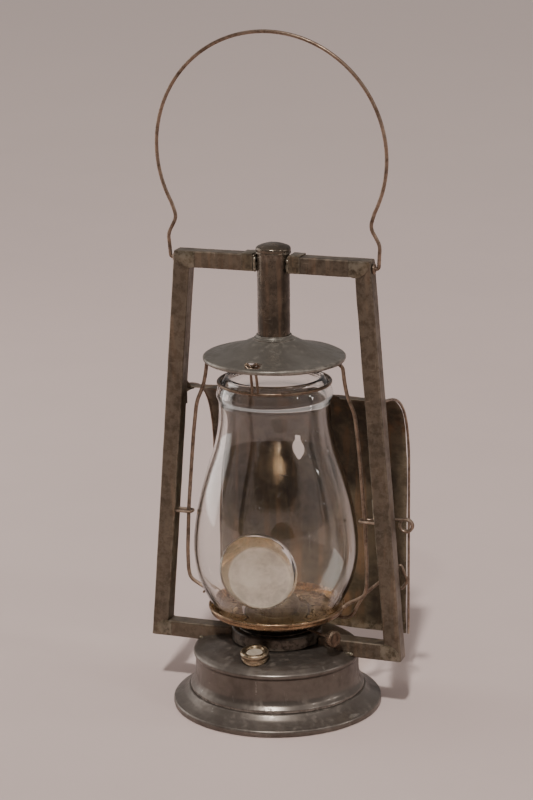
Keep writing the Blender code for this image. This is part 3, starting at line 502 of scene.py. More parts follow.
def new_finish(name):
    """An empty finish, its shader, and the coordinates its patterns follow."""
    finish = bpy.data.materials.new(name)
    finish.use_nodes = True
    tree = finish.node_tree
    shader = tree.nodes["Principled BSDF"]
    place = put(tree, "TexCoord").outputs["Object"]
    return finish, tree, shader, place


def old_metal(name, dark, light, rust, bare, rough, metal, patches=45.0, runs=260.0, rust_share=0.5,
              edge=0.56, edge_share=0.7, dust=0.15, grit=0.25):
    """Worn sheet metal: patchy coating, rust runs, rubbed edges, scratches, pits and dust."""
    finish, tree, shader, place = new_finish(name)
    cloud = effect(tree, "cloudy_patches", place, Scale=patches)["Mask"]
    colour = tint(tree, cloud, dark, light)
    run = effect(tree, "water_runs", place, Scale=runs)["Mask"]
    colour = tint(tree, sums(tree, "MULTIPLY", run, rust_share), colour, rust)
    pits = effect(tree, "small_pits", place)
    colour = tint(tree, sums(tree, "MULTIPLY", pits["Mask"], rust_share * 0.8), colour, rust)
    scratch = effect(tree, "fine_scratches", place)["Mask"]
    colour = tint(tree, sums(tree, "MULTIPLY", scratch, 0.35), colour, bare)
    worn = sums(tree, "MULTIPLY", effect(tree, "rubbed_edges", place, Width=edge)["Mask"], edge_share)
    colour = tint(tree, worn, colour, bare)
    dusty = sums(tree, "MULTIPLY", effect(tree, "settled_dust", place)["Mask"], dust)
    colour = tint(tree, dusty, colour, (0.34, 0.30, 0.26))
    feed(tree, shader.inputs["Base Color"], colour)
    rough_now = sums(tree, "ADD", between(tree, cloud, 0.0, 1.0, rough + 0.08, rough - 0.06),
                     sums(tree, "MULTIPLY", run, 0.16))
    rough_now = sums(tree, "ADD", rough_now, sums(tree, "MULTIPLY", dusty, 0.35))
    feed(tree, shader.inputs["Roughness"], rough_now)
    matt = sums(tree, "ADD", sums(tree, "MULTIPLY", run, 0.6), dusty)
    feed(tree, shader.inputs["Metallic"], between(tree, matt, 0.0, 1.0, metal, metal * 0.3))
    uneven = put(tree, "TexNoise", Vector=place, Scale=650.0, Detail=6.0, Roughness=0.6)
    height = sums(tree, "ADD", sums(tree, "MULTIPLY", uneven.outputs[0], 0.35),
                  sums(tree, "MULTIPLY", pits["Height"], 0.45))
    height = sums(tree, "SUBTRACT", height, sums(tree, "MULTIPLY", scratch, 0.12))
    bump = put(tree, "Bump", Strength=grit, Distance=0.0004, Height=height)
    feed(tree, shader.inputs["Normal"], bump.outputs[0])
    return finish


# Each is its dark and light coat, its rust, its bare metal, its roughness and how metallic it is
JAPANNED = old_metal("worn_japanned_iron", (0.056, 0.041, 0.028), (0.102, 0.076, 0.052),
                     (0.140, 0.078, 0.042), (0.300, 0.245, 0.185), 0.40, 0.55, patches=22.0)
CHIMNEY = old_metal("smoked_chimney_iron", (0.046, 0.036, 0.027), (0.112, 0.089, 0.066),
                    (0.150, 0.080, 0.042), (0.300, 0.255, 0.205), 0.28, 0.75, rust_share=0.45)
FOUNT = old_metal("dull_fount_tin", (0.096, 0.079, 0.066), (0.146, 0.124, 0.106), (0.110, 0.078, 0.055),
                  (0.380, 0.345, 0.305), 0.34, 0.75, patches=24.0, rust_share=0.20, dust=0.14, grit=0.10)
CANOPY = old_metal("dull_canopy_tin", (0.130, 0.117, 0.098), (0.168, 0.152, 0.130), (0.120, 0.092, 0.066),
                   (0.420, 0.375, 0.320), 0.40, 0.60, patches=20.0, rust_share=0.12, dust=0.08, grit=0.08)
WIRE = old_metal("browned_iron_wire", (0.080, 0.052, 0.035), (0.215, 0.145, 0.100), (0.180, 0.090, 0.050),
                 (0.460, 0.360, 0.280), 0.36, 0.70, patches=90.0, rust_share=0.4, edge=0.60, dust=0.06)
DARK_WIRE = old_metal("dark_ring_wire", (0.056, 0.037, 0.025), (0.150, 0.100, 0.068), (0.130, 0.068, 0.036),
                      (0.420, 0.320, 0.230), 0.32, 0.80, patches=90.0, edge=0.60, dust=0.04)
BRONZE = old_metal("dark_plate_bronze", (0.140, 0.086, 0.048), (0.330, 0.215, 0.122), (0.300, 0.140, 0.065),
                   (0.560, 0.420, 0.270), 0.26, 0.90, patches=60.0, rust_share=0.4, dust=0.05)
BRASS = old_metal("tarnished_brass", (0.330, 0.240, 0.135), (0.620, 0.500, 0.320), (0.220, 0.120, 0.060),
                  (0.850, 0.750, 0.560), 0.30, 0.90, patches=110.0, rust_share=0.35, dust=0.12)
SOLDER = old_metal("old_solder", (0.110, 0.092, 0.063), (0.250, 0.218, 0.162), (0.130, 0.088, 0.052),
                   (0.420, 0.380, 0.310), 0.36, 0.75, patches=190.0, rust_share=0.4, dust=0.08, grit=0.5)
# Painted shade: the air drum and its gallery are coloured near black to stand for the dish's shadow over
# them.
UNDER_DISH_SHADE = old_metal("air_drum_iron_painted_shade", (0.014, 0.011, 0.008), (0.040, 0.032, 0.024), (0.070, 0.040, 0.022),
                 (0.180, 0.150, 0.120), 0.36, 0.60, dust=0.02)
CAP_RING = old_metal("dark_cap_brass", (0.120, 0.085, 0.050), (0.300, 0.225, 0.140), (0.160, 0.085, 0.045),
                     (0.780, 0.680, 0.520), 0.28, 0.90, patches=110.0, rust_share=0.35, dust=0.06)
CAP_DISC = old_metal("bright_cap_brass", (0.560, 0.450, 0.340), (0.780, 0.680, 0.560), (0.360, 0.240, 0.150),
                     (0.900, 0.820, 0.700), 0.34, 0.50, patches=150.0, rust_share=0.2, dust=0.05, grit=0.1)
SMOKED_BRASS = old_metal("smoked_burner_brass", (0.060, 0.040, 0.022), (0.150, 0.105, 0.060),
                         (0.110, 0.055, 0.028), (0.320, 0.250, 0.160), 0.42, 0.70, patches=110.0, dust=0.02)
LAP = old_metal("soldered_iron_lap", (0.056, 0.043, 0.028), (0.135, 0.108, 0.070), (0.140, 0.080, 0.044),
                (0.260, 0.225, 0.170), 0.38, 0.60, patches=120.0, dust=0.08)
HOOD = old_metal("smoked_hood_tin", (0.038, 0.027, 0.016), (0.106, 0.077, 0.047), (0.170, 0.088, 0.040),
                 (0.240, 0.185, 0.125), 0.56, 0.35, patches=26.0, runs=90.0, rust_share=0.75, dust=0.08)


def clear_glass():
    """Pressed glass with seeds, hair scratches, mould ripple and a painted warm reflection of the dish at the
    foot.
    """
    finish, tree, shader, place = new_finish("clear_pressed_glass")
    parts = put(tree, "SeparateXYZ", Vector=place)
    # Painted reflection: the globe's foot is tinted amber to stand for the bronze dish and burner brass
    # reflected in it.
    low = between(tree, parts.outputs["Z"], 0.073, 0.088, 1.0, 0.0)
    dish_reflection_cloud = effect(tree, "cloudy_patches", place, Scale=60.0)["Mask"]
    dish_reflection = sums(tree, "MULTIPLY", low, between(tree, dish_reflection_cloud, 0.0, 1.0, 0.35, 1.0))
    colour = tint(tree, dish_reflection, (0.975, 0.975, 0.960), (0.950, 0.800, 0.620))
    feed(tree, shader.inputs["Base Color"], colour)
    scratch = effect(tree, "fine_scratches", place, Scale=210.0)["Mask"]
    where = put(tree, "TexNoise", Vector=place, Scale=28.0, Detail=2.0)
    marks = sums(tree, "MULTIPLY", scratch, between(tree, where.outputs[0], 0.50, 0.62))
    feed(tree, shader.inputs["Roughness"], sums(tree, "ADD", sums(tree, "MULTIPLY", marks, 0.35), 0.015))
    shader.inputs["Metallic"].default_value = 0.0
    shader.inputs["Transmission Weight"].default_value = 1.0
    shader.inputs["IOR"].default_value = 1.50
    ripple = put(tree, "TexNoise", Vector=stretched(tree, place, (1.0, 1.0, 0.6)), Scale=26.0, Detail=0.0)
    seeds = put(tree, "TexVoronoi", Vector=place, Scale=130.0, Randomness=1.0)
    dots = between(tree, seeds.outputs["Distance"], 0.06, 0.12, 1.0, 0.0)
    height = sums(tree, "ADD", sums(tree, "MULTIPLY", ripple.outputs[0], 0.80),
                  sums(tree, "ADD", sums(tree, "MULTIPLY", dots, 0.05), sums(tree, "MULTIPLY", marks, 0.05)))
    bump = put(tree, "Bump", Strength=0.30, Distance=0.0004, Height=height)
    feed(tree, shader.inputs["Normal"], bump.outputs[0])
    clear = put(tree, "BsdfTransparent")
    clear.inputs["Color"].default_value = (0.93, 0.92, 0.90, 1.0)
    either = put(tree, "MixShader")
    tree.links.new(put(tree, "LightPath").outputs["Is Shadow Ray"], either.inputs[0])
    tree.links.new(shader.outputs[0], either.inputs[1])
    tree.links.new(clear.outputs[0], either.inputs[2])
    tree.links.new(either.outputs[0], tree.nodes["Material Output"].inputs["Surface"])
    return finish


def ground_glass():
    """Aged back of the lens: a cloudy pale disc low down in an amber film."""
    finish, tree, shader, place = new_finish("aged_lens_back")
    centred = put(tree, "Mapping", Vector=place)
    centred.inputs["Location"].default_value = (-0.0051, 0.0, -0.1140)      # middle of the pale disc
    flat = stretched(tree, centred.outputs[0], (1.0, 0.0, 1.0))
    reach = put(tree, "VectorMath", {"operation": "LENGTH"})
    feed(tree, reach.inputs[0], flat)
    ragged = put(tree, "TexNoise", Vector=place, Scale=120.0, Detail=3.0)
    spread = sums(tree, "SUBTRACT", reach.outputs["Value"], sums(tree, "MULTIPLY", ragged.outputs[0], 0.0016))
    pale = between(tree, spread, 0.0180, 0.0214, 1.0, 0.0)
    rim = sums(tree, "MULTIPLY", pale, between(tree, spread, 0.0178, 0.0194))
    cloud = effect(tree, "cloudy_patches", place, Scale=38.0)["Mask"]
    milk = tint(tree, cloud, (0.270, 0.215, 0.172), (0.470, 0.388, 0.322))
    milk = tint(tree, sums(tree, "MULTIPLY", rim, 0.4), milk, (0.640, 0.560, 0.480))
    amber = tint(tree, cloud, (0.230, 0.150, 0.075), (0.400, 0.300, 0.190))
    feed(tree, shader.inputs["Base Color"], tint(tree, pale, amber, milk))
    feed(tree, shader.inputs["Roughness"], between(tree, cloud, 0.0, 1.0, 0.50, 0.70))
    feed(tree, shader.inputs["Alpha"], between(tree, pale, 0.0, 1.0, 0.34, 0.70))
    return finish


def woven_wick():
    """Flat cotton wick, charred at the top."""
    finish, tree, shader, place = new_finish("woven_cotton_wick")
    turned_place = put(tree, "Mapping", Vector=place)
    turned_place.inputs["Rotation"].default_value = (0.0, 0.0, -SHAFT_TURN)
    threads = [put(tree, "TexWave", {"wave_type": "BANDS", "bands_direction": way},
                   Vector=turned_place.outputs[0], Scale=count).outputs["Fac"]
               for way, count in (("X", 520.0), ("Z", 430.0))]
    weave = sums(tree, "MULTIPLY", threads[0], threads[1])
    parts = put(tree, "SeparateXYZ", Vector=place)
    char = between(tree, parts.outputs["Z"], 0.0795, 0.0822)
    colour = tint(tree, weave, (0.300, 0.245, 0.170), (0.560, 0.490, 0.380))
    colour = tint(tree, char, colour, (0.012, 0.010, 0.009))
    feed(tree, shader.inputs["Base Color"], colour)
    cloud = effect(tree, "cloudy_patches", place, Scale=160.0)["Mask"]
    feed(tree, shader.inputs["Roughness"], between(tree, cloud, 0.0, 1.0, 0.82, 0.98))
    bump = put(tree, "Bump", Strength=0.6, Distance=0.0003, Height=weave)
    feed(tree, shader.inputs["Normal"], bump.outputs[0])
    return finish


def oiled_leather():
    """Dark washer leather with a fine grain."""
    finish, tree, shader, place = new_finish("oiled_leather")
    cloud = effect(tree, "cloudy_patches", place, Scale=200.0)["Mask"]
    feed(tree, shader.inputs["Base Color"], tint(tree, cloud, (0.060, 0.032, 0.018), (0.130, 0.075, 0.045)))
    feed(tree, shader.inputs["Roughness"], between(tree, cloud, 0.0, 1.0, 0.62, 0.85))
    grain = put(tree, "TexVoronoi", Vector=place, Scale=1400.0)
    bump = put(tree, "Bump", Strength=0.4, Distance=0.0002, Height=grain.outputs["Distance"])
    feed(tree, shader.inputs["Normal"], bump.outputs[0])
    return finish


GLASS = clear_glass()
GROUND = ground_glass()
WICK = woven_wick()
LEATHER = oiled_leather()


# ---------------------------------------------------------------- fount, foot and filler

def make_foot():
    """Flared foot, rolled under at its rim."""
    line = [(0.0768, 0.0003), (0.0783, 0.0003), (0.0785, 0.0012), (0.0785, 0.0036), (0.0778, 0.0047),
            (0.0769, 0.0050), (0.0762, 0.0054), (0.0735, 0.0068), (0.0700, 0.0090), (0.0676, 0.0118),
            (0.0667, 0.0130), (0.0653, 0.0133), (0.0580, 0.0133)]
    piece = turned(walled(rounded(line, 0.0012, 3), TIN_WALL), 128)
    done(dented(piece, 0.00030, 0.022, 3.0), "foot_flare", "lantern_body", "fount_tin", FOUNT, "foot_skirt")


def make_fount():
    """Drum and domed shoulder of the oil fount, with the lap where the drum closes."""
    line = [(0.0653, 0.0136), (0.0655, 0.0152), (0.0646, 0.0164), (0.0632, 0.0182), (0.0620, 0.0214),
            (0.0615, 0.0256), (0.0614, 0.0366), (0.0618, 0.0378), (0.0629, 0.0390), (0.0632, 0.0403),
            (0.0629, 0.0415), (0.0620, 0.0424), (0.0590, 0.0444), (0.0545, 0.0462), (0.0500, 0.0473),
            (0.0400, 0.0488), (0.0300, 0.0497), (0.0240, 0.0500), (0.0129, 0.0500)]
    piece = turned(walled(rounded(line, 0.0010, 3), TIN_WALL), 128)
    dented(piece, 0.00030, 0.030, 8.0)
    done(piece, "fount_drum", "lantern_body", "fount_tin", FOUNT, "fount_shell")
    lap = [(0.0612, 0.0262), (0.0612, 0.0364), (0.0617, 0.0362), (0.0617, 0.0264)]
    done(turned(lap, 3, sweep=0.9, start=-84.5), "drum_lap_seam", "lantern_body", "fount_tin", FOUNT)


def filler_place():
    """Where the filler stands on the shoulder, leaning forward."""
    return Matrix.Translation((0.0, -0.0483, 0.0475)) @ Matrix.Rotation(math.radians(8.0), 4, "X")


def make_filler():
    """Screw cap, its bright disc, and the leather washer inside."""
    line = [(0.0, 0.0066), (0.0048, 0.0066), (0.0064, 0.0070), (0.0070, 0.0081), (0.0079, 0.0088),
            (0.0090, 0.0088), (0.0101, 0.0083), (0.0107, 0.0072), (0.0106, 0.0061), (0.0099, 0.0052),
            (0.0097, 0.0043), (0.0101, 0.0036), (0.0101, 0.0027), (0.0087, 0.0027), (0.0087, 0.0056),
            (0.0078, 0.0063), (0.0, 0.0063)]
    piece = turned([(p.x, p.y) for p in rounded(line, 0.0007, 3)], 72, closed=False)
    done(moved(piece, filler_place()), "filler_screw_cap", "cap", "brass", CAP_RING, "filler_cap")
    disc = turned([(0.0, 0.0071), (0.0052, 0.0070), (0.0060, 0.0069), (0.0061, 0.0067), (0.0, 0.0067)], 48,
                  closed=False)
    done(moved(disc, filler_place()), "filler_cap_disc", "cap", "brass", CAP_DISC)
    washer = turned([(0.0056, 0.0061), (0.0075, 0.0061), (0.0076, 0.00615), (0.0075, 0.0062),
                     (0.0056, 0.0062)], 48)
    done(moved(washer, filler_place()), "filler_seal_ring", "cap_seal", "leather", LEATHER, "cap_gasket")


# ---------------------------------------------------------------- burner and air parts

def shaft_place():
    """Lays an upright turning along the wick shaft, pointing out of the burner."""
    turn = Matrix.Rotation(SHAFT_TURN, 4, "Z")
    aside = turn @ Vector((0.0, 0.0046, 0.0))
    laid = Matrix.Rotation(math.radians(90.0), 4, "Y")
    return Matrix.Translation((aside.x, aside.y, SHAFT_HEIGHT)) @ turn @ laid


def make_burner():
    """Slotted flame dome, air drum below it, and the drilled gallery between them."""
    line = [(0.0235, 0.0693), (0.0237, 0.0700), (0.0232, 0.0703), (0.0182, 0.0712), (0.0178, 0.0730),
            (0.0172, 0.0764), (0.0150, 0.0808), (0.0110, 0.0838), (0.0060, 0.0848), (0.0, 0.0850)]
    dome = turned([(p[0], p[1]) for p in walled(eased(line, 3), DOME_WALL)], 64)
    slot = block((-0.0090, -0.0029, 0.0790), (0.0090, 0.0029, 0.0880))
    cut(dome, moved(slot, Matrix.Rotation(SHAFT_TURN, 4, "Z")))
    done(dome, "flame_dome", "lantern_body", "brass", SMOKED_BRASS, "burner_dome")

    # The air drum and gallery take the near-black finish that paints the dish's shadow on them.
    line = [(0.0340, 0.0503), (0.0340, 0.0588), (0.0330, 0.0600), (0.0164, 0.0600)]
    chamber = dented(turned(walled(rounded(line, 0.0012, 4), TIN_WALL), 96), 0.0003, 0.012, 5.0)
    done(chamber, "air_drum", "lantern_body", "japanned_iron", UNDER_DISH_SHADE, "air_chamber")

    line = [(0.0299, 0.0604), (0.0297, 0.0611), (0.0256, 0.0614), (0.0249, 0.0622), (0.0249, 0.0690)]
    gallery = turned(walled(rounded(line, 0.0006, 3), TIN_WALL), 96)
    holes = 16
    for number in range(holes):
        turn = Matrix.Rotation(SHAFT_TURN + math.tau * (number + 0.5) / holes, 4, "Z")
        place = Matrix.Translation((0.0, 0.0, 0.0652)) @ turn @ Matrix.Translation((0.0249, 0.0, 0.0))
        bpy.ops.mesh.primitive_cylinder_add(vertices=20, radius=0.0013, depth=0.006)
        drill = bpy.context.object
        moved(drill, place @ Matrix.Rotation(math.radians(90.0), 4, "Y"))
        cut(gallery, drill)
    done(gallery, "air_gallery_ring", "lantern_body", "japanned_iron", UNDER_DISH_SHADE, "air_gallery")


def make_knob():
    """Flat knob with a milled edge on the end of the wick shaft."""
    line = [(0.0014, 0.0535), (0.0050, 0.0535), (0.0064, 0.0541), (0.0068, 0.0552), (0.0068, 0.0575),
            (0.0063, 0.0586), (0.0050, 0.0590), (0.0036, 0.0586), (0.0024, 0.0588), (0.0, 0.0591)]
    steps = 96
    knob = turned([(p.x, p.y) for p in rounded(line, 0.0006, 3)] + [(0.0, 0.0560), (0.0014, 0.0560)], steps)
    for vertex in knob.data.vertices:
        radius = math.hypot(vertex.co.x, vertex.co.y)
        if radius > 0.0056:
            angle = math.atan2(vertex.co.y, vertex.co.x)
            shrink = 1.0 - 0.055 * (0.5 + 0.5 * math.cos(angle * steps / 4.0))
            vertex.co.x *= shrink
            vertex.co.y *= shrink
    done(moved(knob, shaft_place()), "milled_wick_knob", "knob", "rusty_wire", DARK_WIRE, "wick_knob")
    collar = turned([(p.x, p.y) for p in rounded([(0.0012, 0.0500), (0.0024, 0.0500), (0.0026, 0.0516),
                                                  (0.0020, 0.0534), (0.0012, 0.0534)], 0.0004, 2)], 32)
    done(moved(collar, shaft_place()), "knob_collar", "knob", "rusty_wire", WIRE)


# ---------------------------------------------------------------- square tube frame

def square_tube(corners, cut_axis, seed):
    """A mitred square tube from its four front corners, its long edges rounded."""
    piece = plate([(x, -TUBE_DEPTH / 2.0, z) for x, z in corners], (0.0, TUBE_DEPTH, 0.0))
    along = [corner[1 if cut_axis == 2 else 0] for corner in corners]
    longest = max((Vector(corners[a]) - Vector(corners[a - 1])).length for a in range(4))
    bm = bmesh.new()
    bm.from_mesh(piece.data)
    for edge in bm.edges:
        edge.select = edge.calc_length() > longest * 0.5
    bm.to_mesh(piece.data)
    bm.free()
    pick_up(piece)
    bpy.ops.object.mode_set(mode="EDIT")
    bpy.ops.mesh.bevel(offset=0.0012, segments=4, affect="EDGES")
    clear_bench()
    split_lengthwise(piece, min(along), max(along), 40, cut_axis)
    dented(piece, 0.00022, 0.016, seed)
    return soften(piece, 25.0)


def make_frame():
    """The mitred tube frame, and the round laps soldered over its corners."""
    inner_arm = 0.0343
    inner_bar = CHIMNEY_RADIUS + 0.0003
    for side, hand in SIDES:
        tube = [(side_outer(ARM_LOW), ARM_LOW), (side_outer(BAR_TOP), BAR_TOP),
                (side_inner(BAR_LOW), BAR_LOW), (side_inner(ARM_TOP), ARM_TOP)]
        arm = [(side_outer(ARM_LOW), ARM_LOW), (side_inner(ARM_TOP), ARM_TOP),
               (inner_arm, ARM_TOP), (inner_arm, ARM_LOW)]
        bar = [(side_outer(BAR_TOP), BAR_TOP), (inner_bar, BAR_TOP), (inner_bar, BAR_LOW),
               (side_inner(BAR_LOW), BAR_LOW)]
        for name, corners, axis, node in (("upright_", tube, 2, "side_tube_"),
                                          ("foot_arm_", arm, 0, "lower_arm_"),
                                          ("top_bar_", bar, 0, "crossbar_")):
            piece = square_tube([(side * x, z) for x, z in corners], axis, 2.0 + side + len(name))
            done(piece, name + hand, "lantern_body", "japanned_iron", JAPANNED, node + hand)
        for name, centre_z, first, far in (("top", BAR_TOP, 270.0, side_outer(BAR_TOP)),
                                           ("foot", ARM_LOW, 0.0, side_outer(ARM_LOW))):
            radius = 0.0121
            centre_x = far - radius - 0.0004
            curve = arc((centre_x, 0.0, centre_z), radius, first, first + 90.0, 14)
            sign = -1.0 if name == "top" else 1.0
            near_x = centre_x - 0.0035
            square = [(near_x, centre_z + sign * 0.0006), (near_x, centre_z + sign * (radius - 0.0004))]
            inset = [(x, z + sign * 0.0006) for x, _, z in curve]
            inset += square[::-1] if name == "foot" else square
            for face, where in (("front", -1.0), ("back", 1.0)):
                start = where * (TUBE_DEPTH / 2.0 - 0.0001)
                outline = [(side * x, start, z) for x, z in inset]
                lap = plate(outline, (0.0, where * 0.00045, 0.0), 0.00018)
                done(lap, "corner_lap_%s_%s_%s" % (name, face, hand), "lantern_body", "japanned_iron", LAP)


def make_crossbar_straps():
    """Thin folded straps, soldered down, where the crossbar meets the chimney."""
    inside = TUBE_DEPTH / 2.0 + 0.0002
    outside = inside + 0.0007
    for side, hand in SIDES:
        near = side * 0.0137
        width = side * 0.0088
        top = BAR_TOP + 0.0003
        foot = BAR_LOW + 0.0006
        outline = [(near, y, z) for y, z in (
            (-outside, foot), (-outside, top + 0.0006), (outside, top + 0.0006), (outside, foot),
            (inside, foot), (inside, top), (-inside, top), (-inside, foot))]
        strap = plate(outline, (width, 0.0, 0.0), 0.0002)
        split_lengthwise(strap, BAR_LOW, top, 8)
        split_lengthwise(strap, min(near, near + width), max(near, near + width), 6, 0)
        dented(strap, 0.00030, 0.0045, 4.0 + side)
        soften(strap, 60.0)
        done(strap, "soldered_strap_" + hand, "lantern_body", "canopy_tin", LAP, "crossbar_strap_" + hand)


def solder_bead(name, centre, size, seed):
    """A run of solder: a small lump pulled out of round."""
    clear_bench()
    bpy.ops.mesh.primitive_ico_sphere_add(subdivisions=4, radius=1.0)
    lump = bpy.context.object
    lump.data.transform(Matrix.Translation(centre) @ Matrix.Diagonal((*size, 1.0)))
    dented(lump, min(size) * 0.7, max(size) * 0.5, seed)
    done(soften(lump, 60.0), name, "lantern_body", "canopy_tin", SOLDER)


def make_solder():
    """Solder where the lower arms meet the drum and the crossbars meet the chimney."""
    for side, hand in SIDES:
        for face, where in (("front", -0.0064), ("back", 0.0064)):
            solder_bead("arm_solder_%s_%s" % (face, hand), (side * 0.0588, where, 0.0448),
                        (0.0026 + side * 0.0008, 0.0010, 0.0012 + side * 0.0003), 3.0 + side + where)
        for name, y, seed in (("bar_solder_", -0.0052, 9.0), ("bar_solder_back_", 0.0052, 12.0)):
            solder_bead(name + hand, (side * 0.0128, y, 0.3360), (0.0016, 0.0020, 0.0060), seed + side)


def make_chimney():
    """Chimney pipe and its small domed cap."""
    count = 24
    rise = CHIMNEY_HIGH - CHIMNEY_LOW
    wall = [(CHIMNEY_RADIUS, CHIMNEY_LOW + rise * n / count) for n in range(count + 1)]
    bore = CHIMNEY_RADIUS - SHEET
    piece = turned(wall + [(bore, CHIMNEY_HIGH), (bore, CHIMNEY_LOW)], 72)
    dented(piece, 0.00018, 0.014, 1.0)
    done(piece, "chimney_pipe", "lantern_body", "japanned_iron", CHIMNEY, "chimney_tube")
    line = [(0.0122, 0.3439), (0.0129, 0.3439), (0.0131, 0.3447), (0.0127, 0.3455), (0.0129, 0.3468),
            (0.0127, 0.3482), (0.0116, 0.3492), (0.0078, 0.3508), (0.0036, 0.3514), (0.0, 0.3516)]
    cap = turned([(p[0], p[1]) for p in walled(rounded(line, 0.0008, 3), 0.0006)], 72)
    dented(cap, 0.00030, 0.008, 6.0)
    done(cap, "chimney_top_cap", "lantern_body", "japanned_iron", CHIMNEY, "chimney_cap")


def make_bosses():
    """Eyelets the bail turns in."""
    for side, hand in SIDES:
        face = side_outer(BAIL_PIVOT - 0.0040) + 0.0002
        line = [(0.0016, face), (0.0040, face), (0.0039, face + 0.0007), (0.0028, face + 0.0013),
                (0.0020, face + 0.0014), (0.0016, face + 0.0011)]
        boss = turned([(p.x, p.y) for p in rounded(line, 0.0003, 2)], 36)
        laid = Matrix.Rotation(math.radians(90.0 * side), 4, "Y")
        moved(boss, Matrix.Translation((0.0, 0.0, BAIL_PIVOT)) @ laid)
        done(boss, "bail_eyelet_" + hand, "lantern_body", "japanned_iron", WIRE, "bail_boss_" + hand)


# ---------------------------------------------------------------- globe and its carriage

def make_globe():
    """Blown globe with its lens pressed into the front, and the lens's aged back."""
    outer = [(0.0462, 0.0724), (0.0466, 0.0745), (0.0472, 0.0770), (0.0503, 0.0822), (0.0553, 0.0920),
             (0.0595, 0.1050), (0.0614, 0.1215), (0.0600, 0.1400), (0.0564, 0.1600), (0.0510, 0.1800),
             (0.0452, 0.1985), (0.0420, 0.2150), (0.0411, 0.2300), (0.0416, 0.2345), (0.0430, 0.2385),
             (0.0424, 0.2430), (0.0406, 0.2470), (0.0378, 0.2500), (0.0366, 0.2520), (0.0358, 0.2530)]
    inner = [(0.0343, 0.2526), (0.0340, 0.2505), (0.0352, 0.2480), (0.0376, 0.2440), (0.0388, 0.2385),
             (0.0390, 0.2300), (0.0397, 0.2150), (0.0429, 0.1985), (0.0487, 0.1800), (0.0541, 0.1600),
             (0.0577, 0.1400), (0.0590, 0.1215), (0.0571, 0.1050), (0.0529, 0.0930), (0.0478, 0.0836),
             (0.0446, 0.0780), (0.0436, 0.0745), (0.0434, 0.0726)]
    wall = eased(outer, 4) + eased(inner, 4)
    globe = turned([(p.x, p.y) for p in wall], 144)
    back = 0.0500
    front = 0.0652
    lens = [(0.0, back), (0.0120, back + 0.0002), (0.0215, back + 0.0010), (0.0278, back + 0.0030),
            (0.0290, back + 0.0044), (0.0288, front - 0.0096), (0.0276, front - 0.0086),
            (0.0250, front - 0.0067), (0.0200, front - 0.0041), (0.0140, front - 0.0020),
            (0.0070, front - 0.0005), (0.0, front)]
    plug = turned([(p.x, p.y) for p in eased(lens, 3)], 96, closed=False)
    place = Matrix.Translation((0.0, 0.0, LENS_HEIGHT)) @ Matrix.Rotation(LENS_TURN, 4, "Z")
    place = place @ Matrix.Rotation(math.radians(90.0), 4, "X")
    cut(globe, moved(plug, place), "UNION")
    soften(globe, 28.0)
    done(globe, "clear_globe", "globe_carriage", "clear_glass", GLASS, "globe")
    disc = turned([(0.0, 0.0488), (0.0180, 0.0489), (0.0262, 0.0492), (0.0265, 0.0490), (0.0262, 0.0487),
                   (0.0180, 0.0484), (0.0, 0.0483)], 72, closed=False)
    done(moved(disc, place), "ground_lens_back", "globe_carriage", "clear_glass", GROUND)


def make_plate():
    """Rolled dish the globe stands in, and its short hook."""
    line = [(0.0265, 0.0712), (0.0265, 0.0704), (0.0300, 0.0704), (0.0420, 0.0705), (0.0444, 0.0704),
            (0.0482, 0.0711), (0.0500, 0.0726), (0.0503, 0.0746), (0.0510, 0.0754), (0.0512, 0.0762),
            (0.0508, 0.0771), (0.0500, 0.0773), (0.0494, 0.0768), (0.0492, 0.0740), (0.0475, 0.0722),
            (0.0440, 0.0713)]
    outline = [(p.x, p.y) for p in rounded(line + [line[0]], 0.0006, 3)[:-1]]
    piece = turned(outline, 120)
    done(piece, "globe_dish", "globe_carriage", "bronze", BRONZE, "globe_plate")
    hook = [(-0.0510, 0.0050, 0.0770), (-0.0565, 0.0050, 0.0798), (-0.0594, 0.0054, 0.0790),
            (-0.0612, 0.0058, 0.0764)]
    bent = wire(rounded(hook, 0.0024, 6), 0.0009)
    done(bent, "dish_hook", "globe_carriage", "rusty_wire", DARK_WIRE, "plate_hook")


def make_guards():
    """The two guard wires, from the canopy down to the dish."""
    guard = [(0.0488, 0.0, 0.2653), (0.0527, 0.0, 0.2625), (0.0540, 0.0, 0.2510), (0.0562, 0.0, 0.2405),
             (0.0617, 0.0, 0.2280), (0.0645, 0.0, 0.2050), (0.0664, 0.0, 0.1840), (0.0696, 0.0, 0.1450),
             (0.0711, 0.0, 0.1120), (0.0708, 0.0, 0.0960), (0.0692, 0.0, 0.0894), (0.0640, 0.0, 0.0860),
             (0.0568, 0.0, 0.0822), (0.0528, 0.0, 0.0786)]
    for side, hand in SIDES:
        piece = wire(rounded(mirrored(guard, side), 0.0048, 8), 0.0014, roundness=5)
        done(piece, "globe_guard_" + hand, "globe_carriage", "rusty_wire", WIRE, "guard_wire_" + hand)


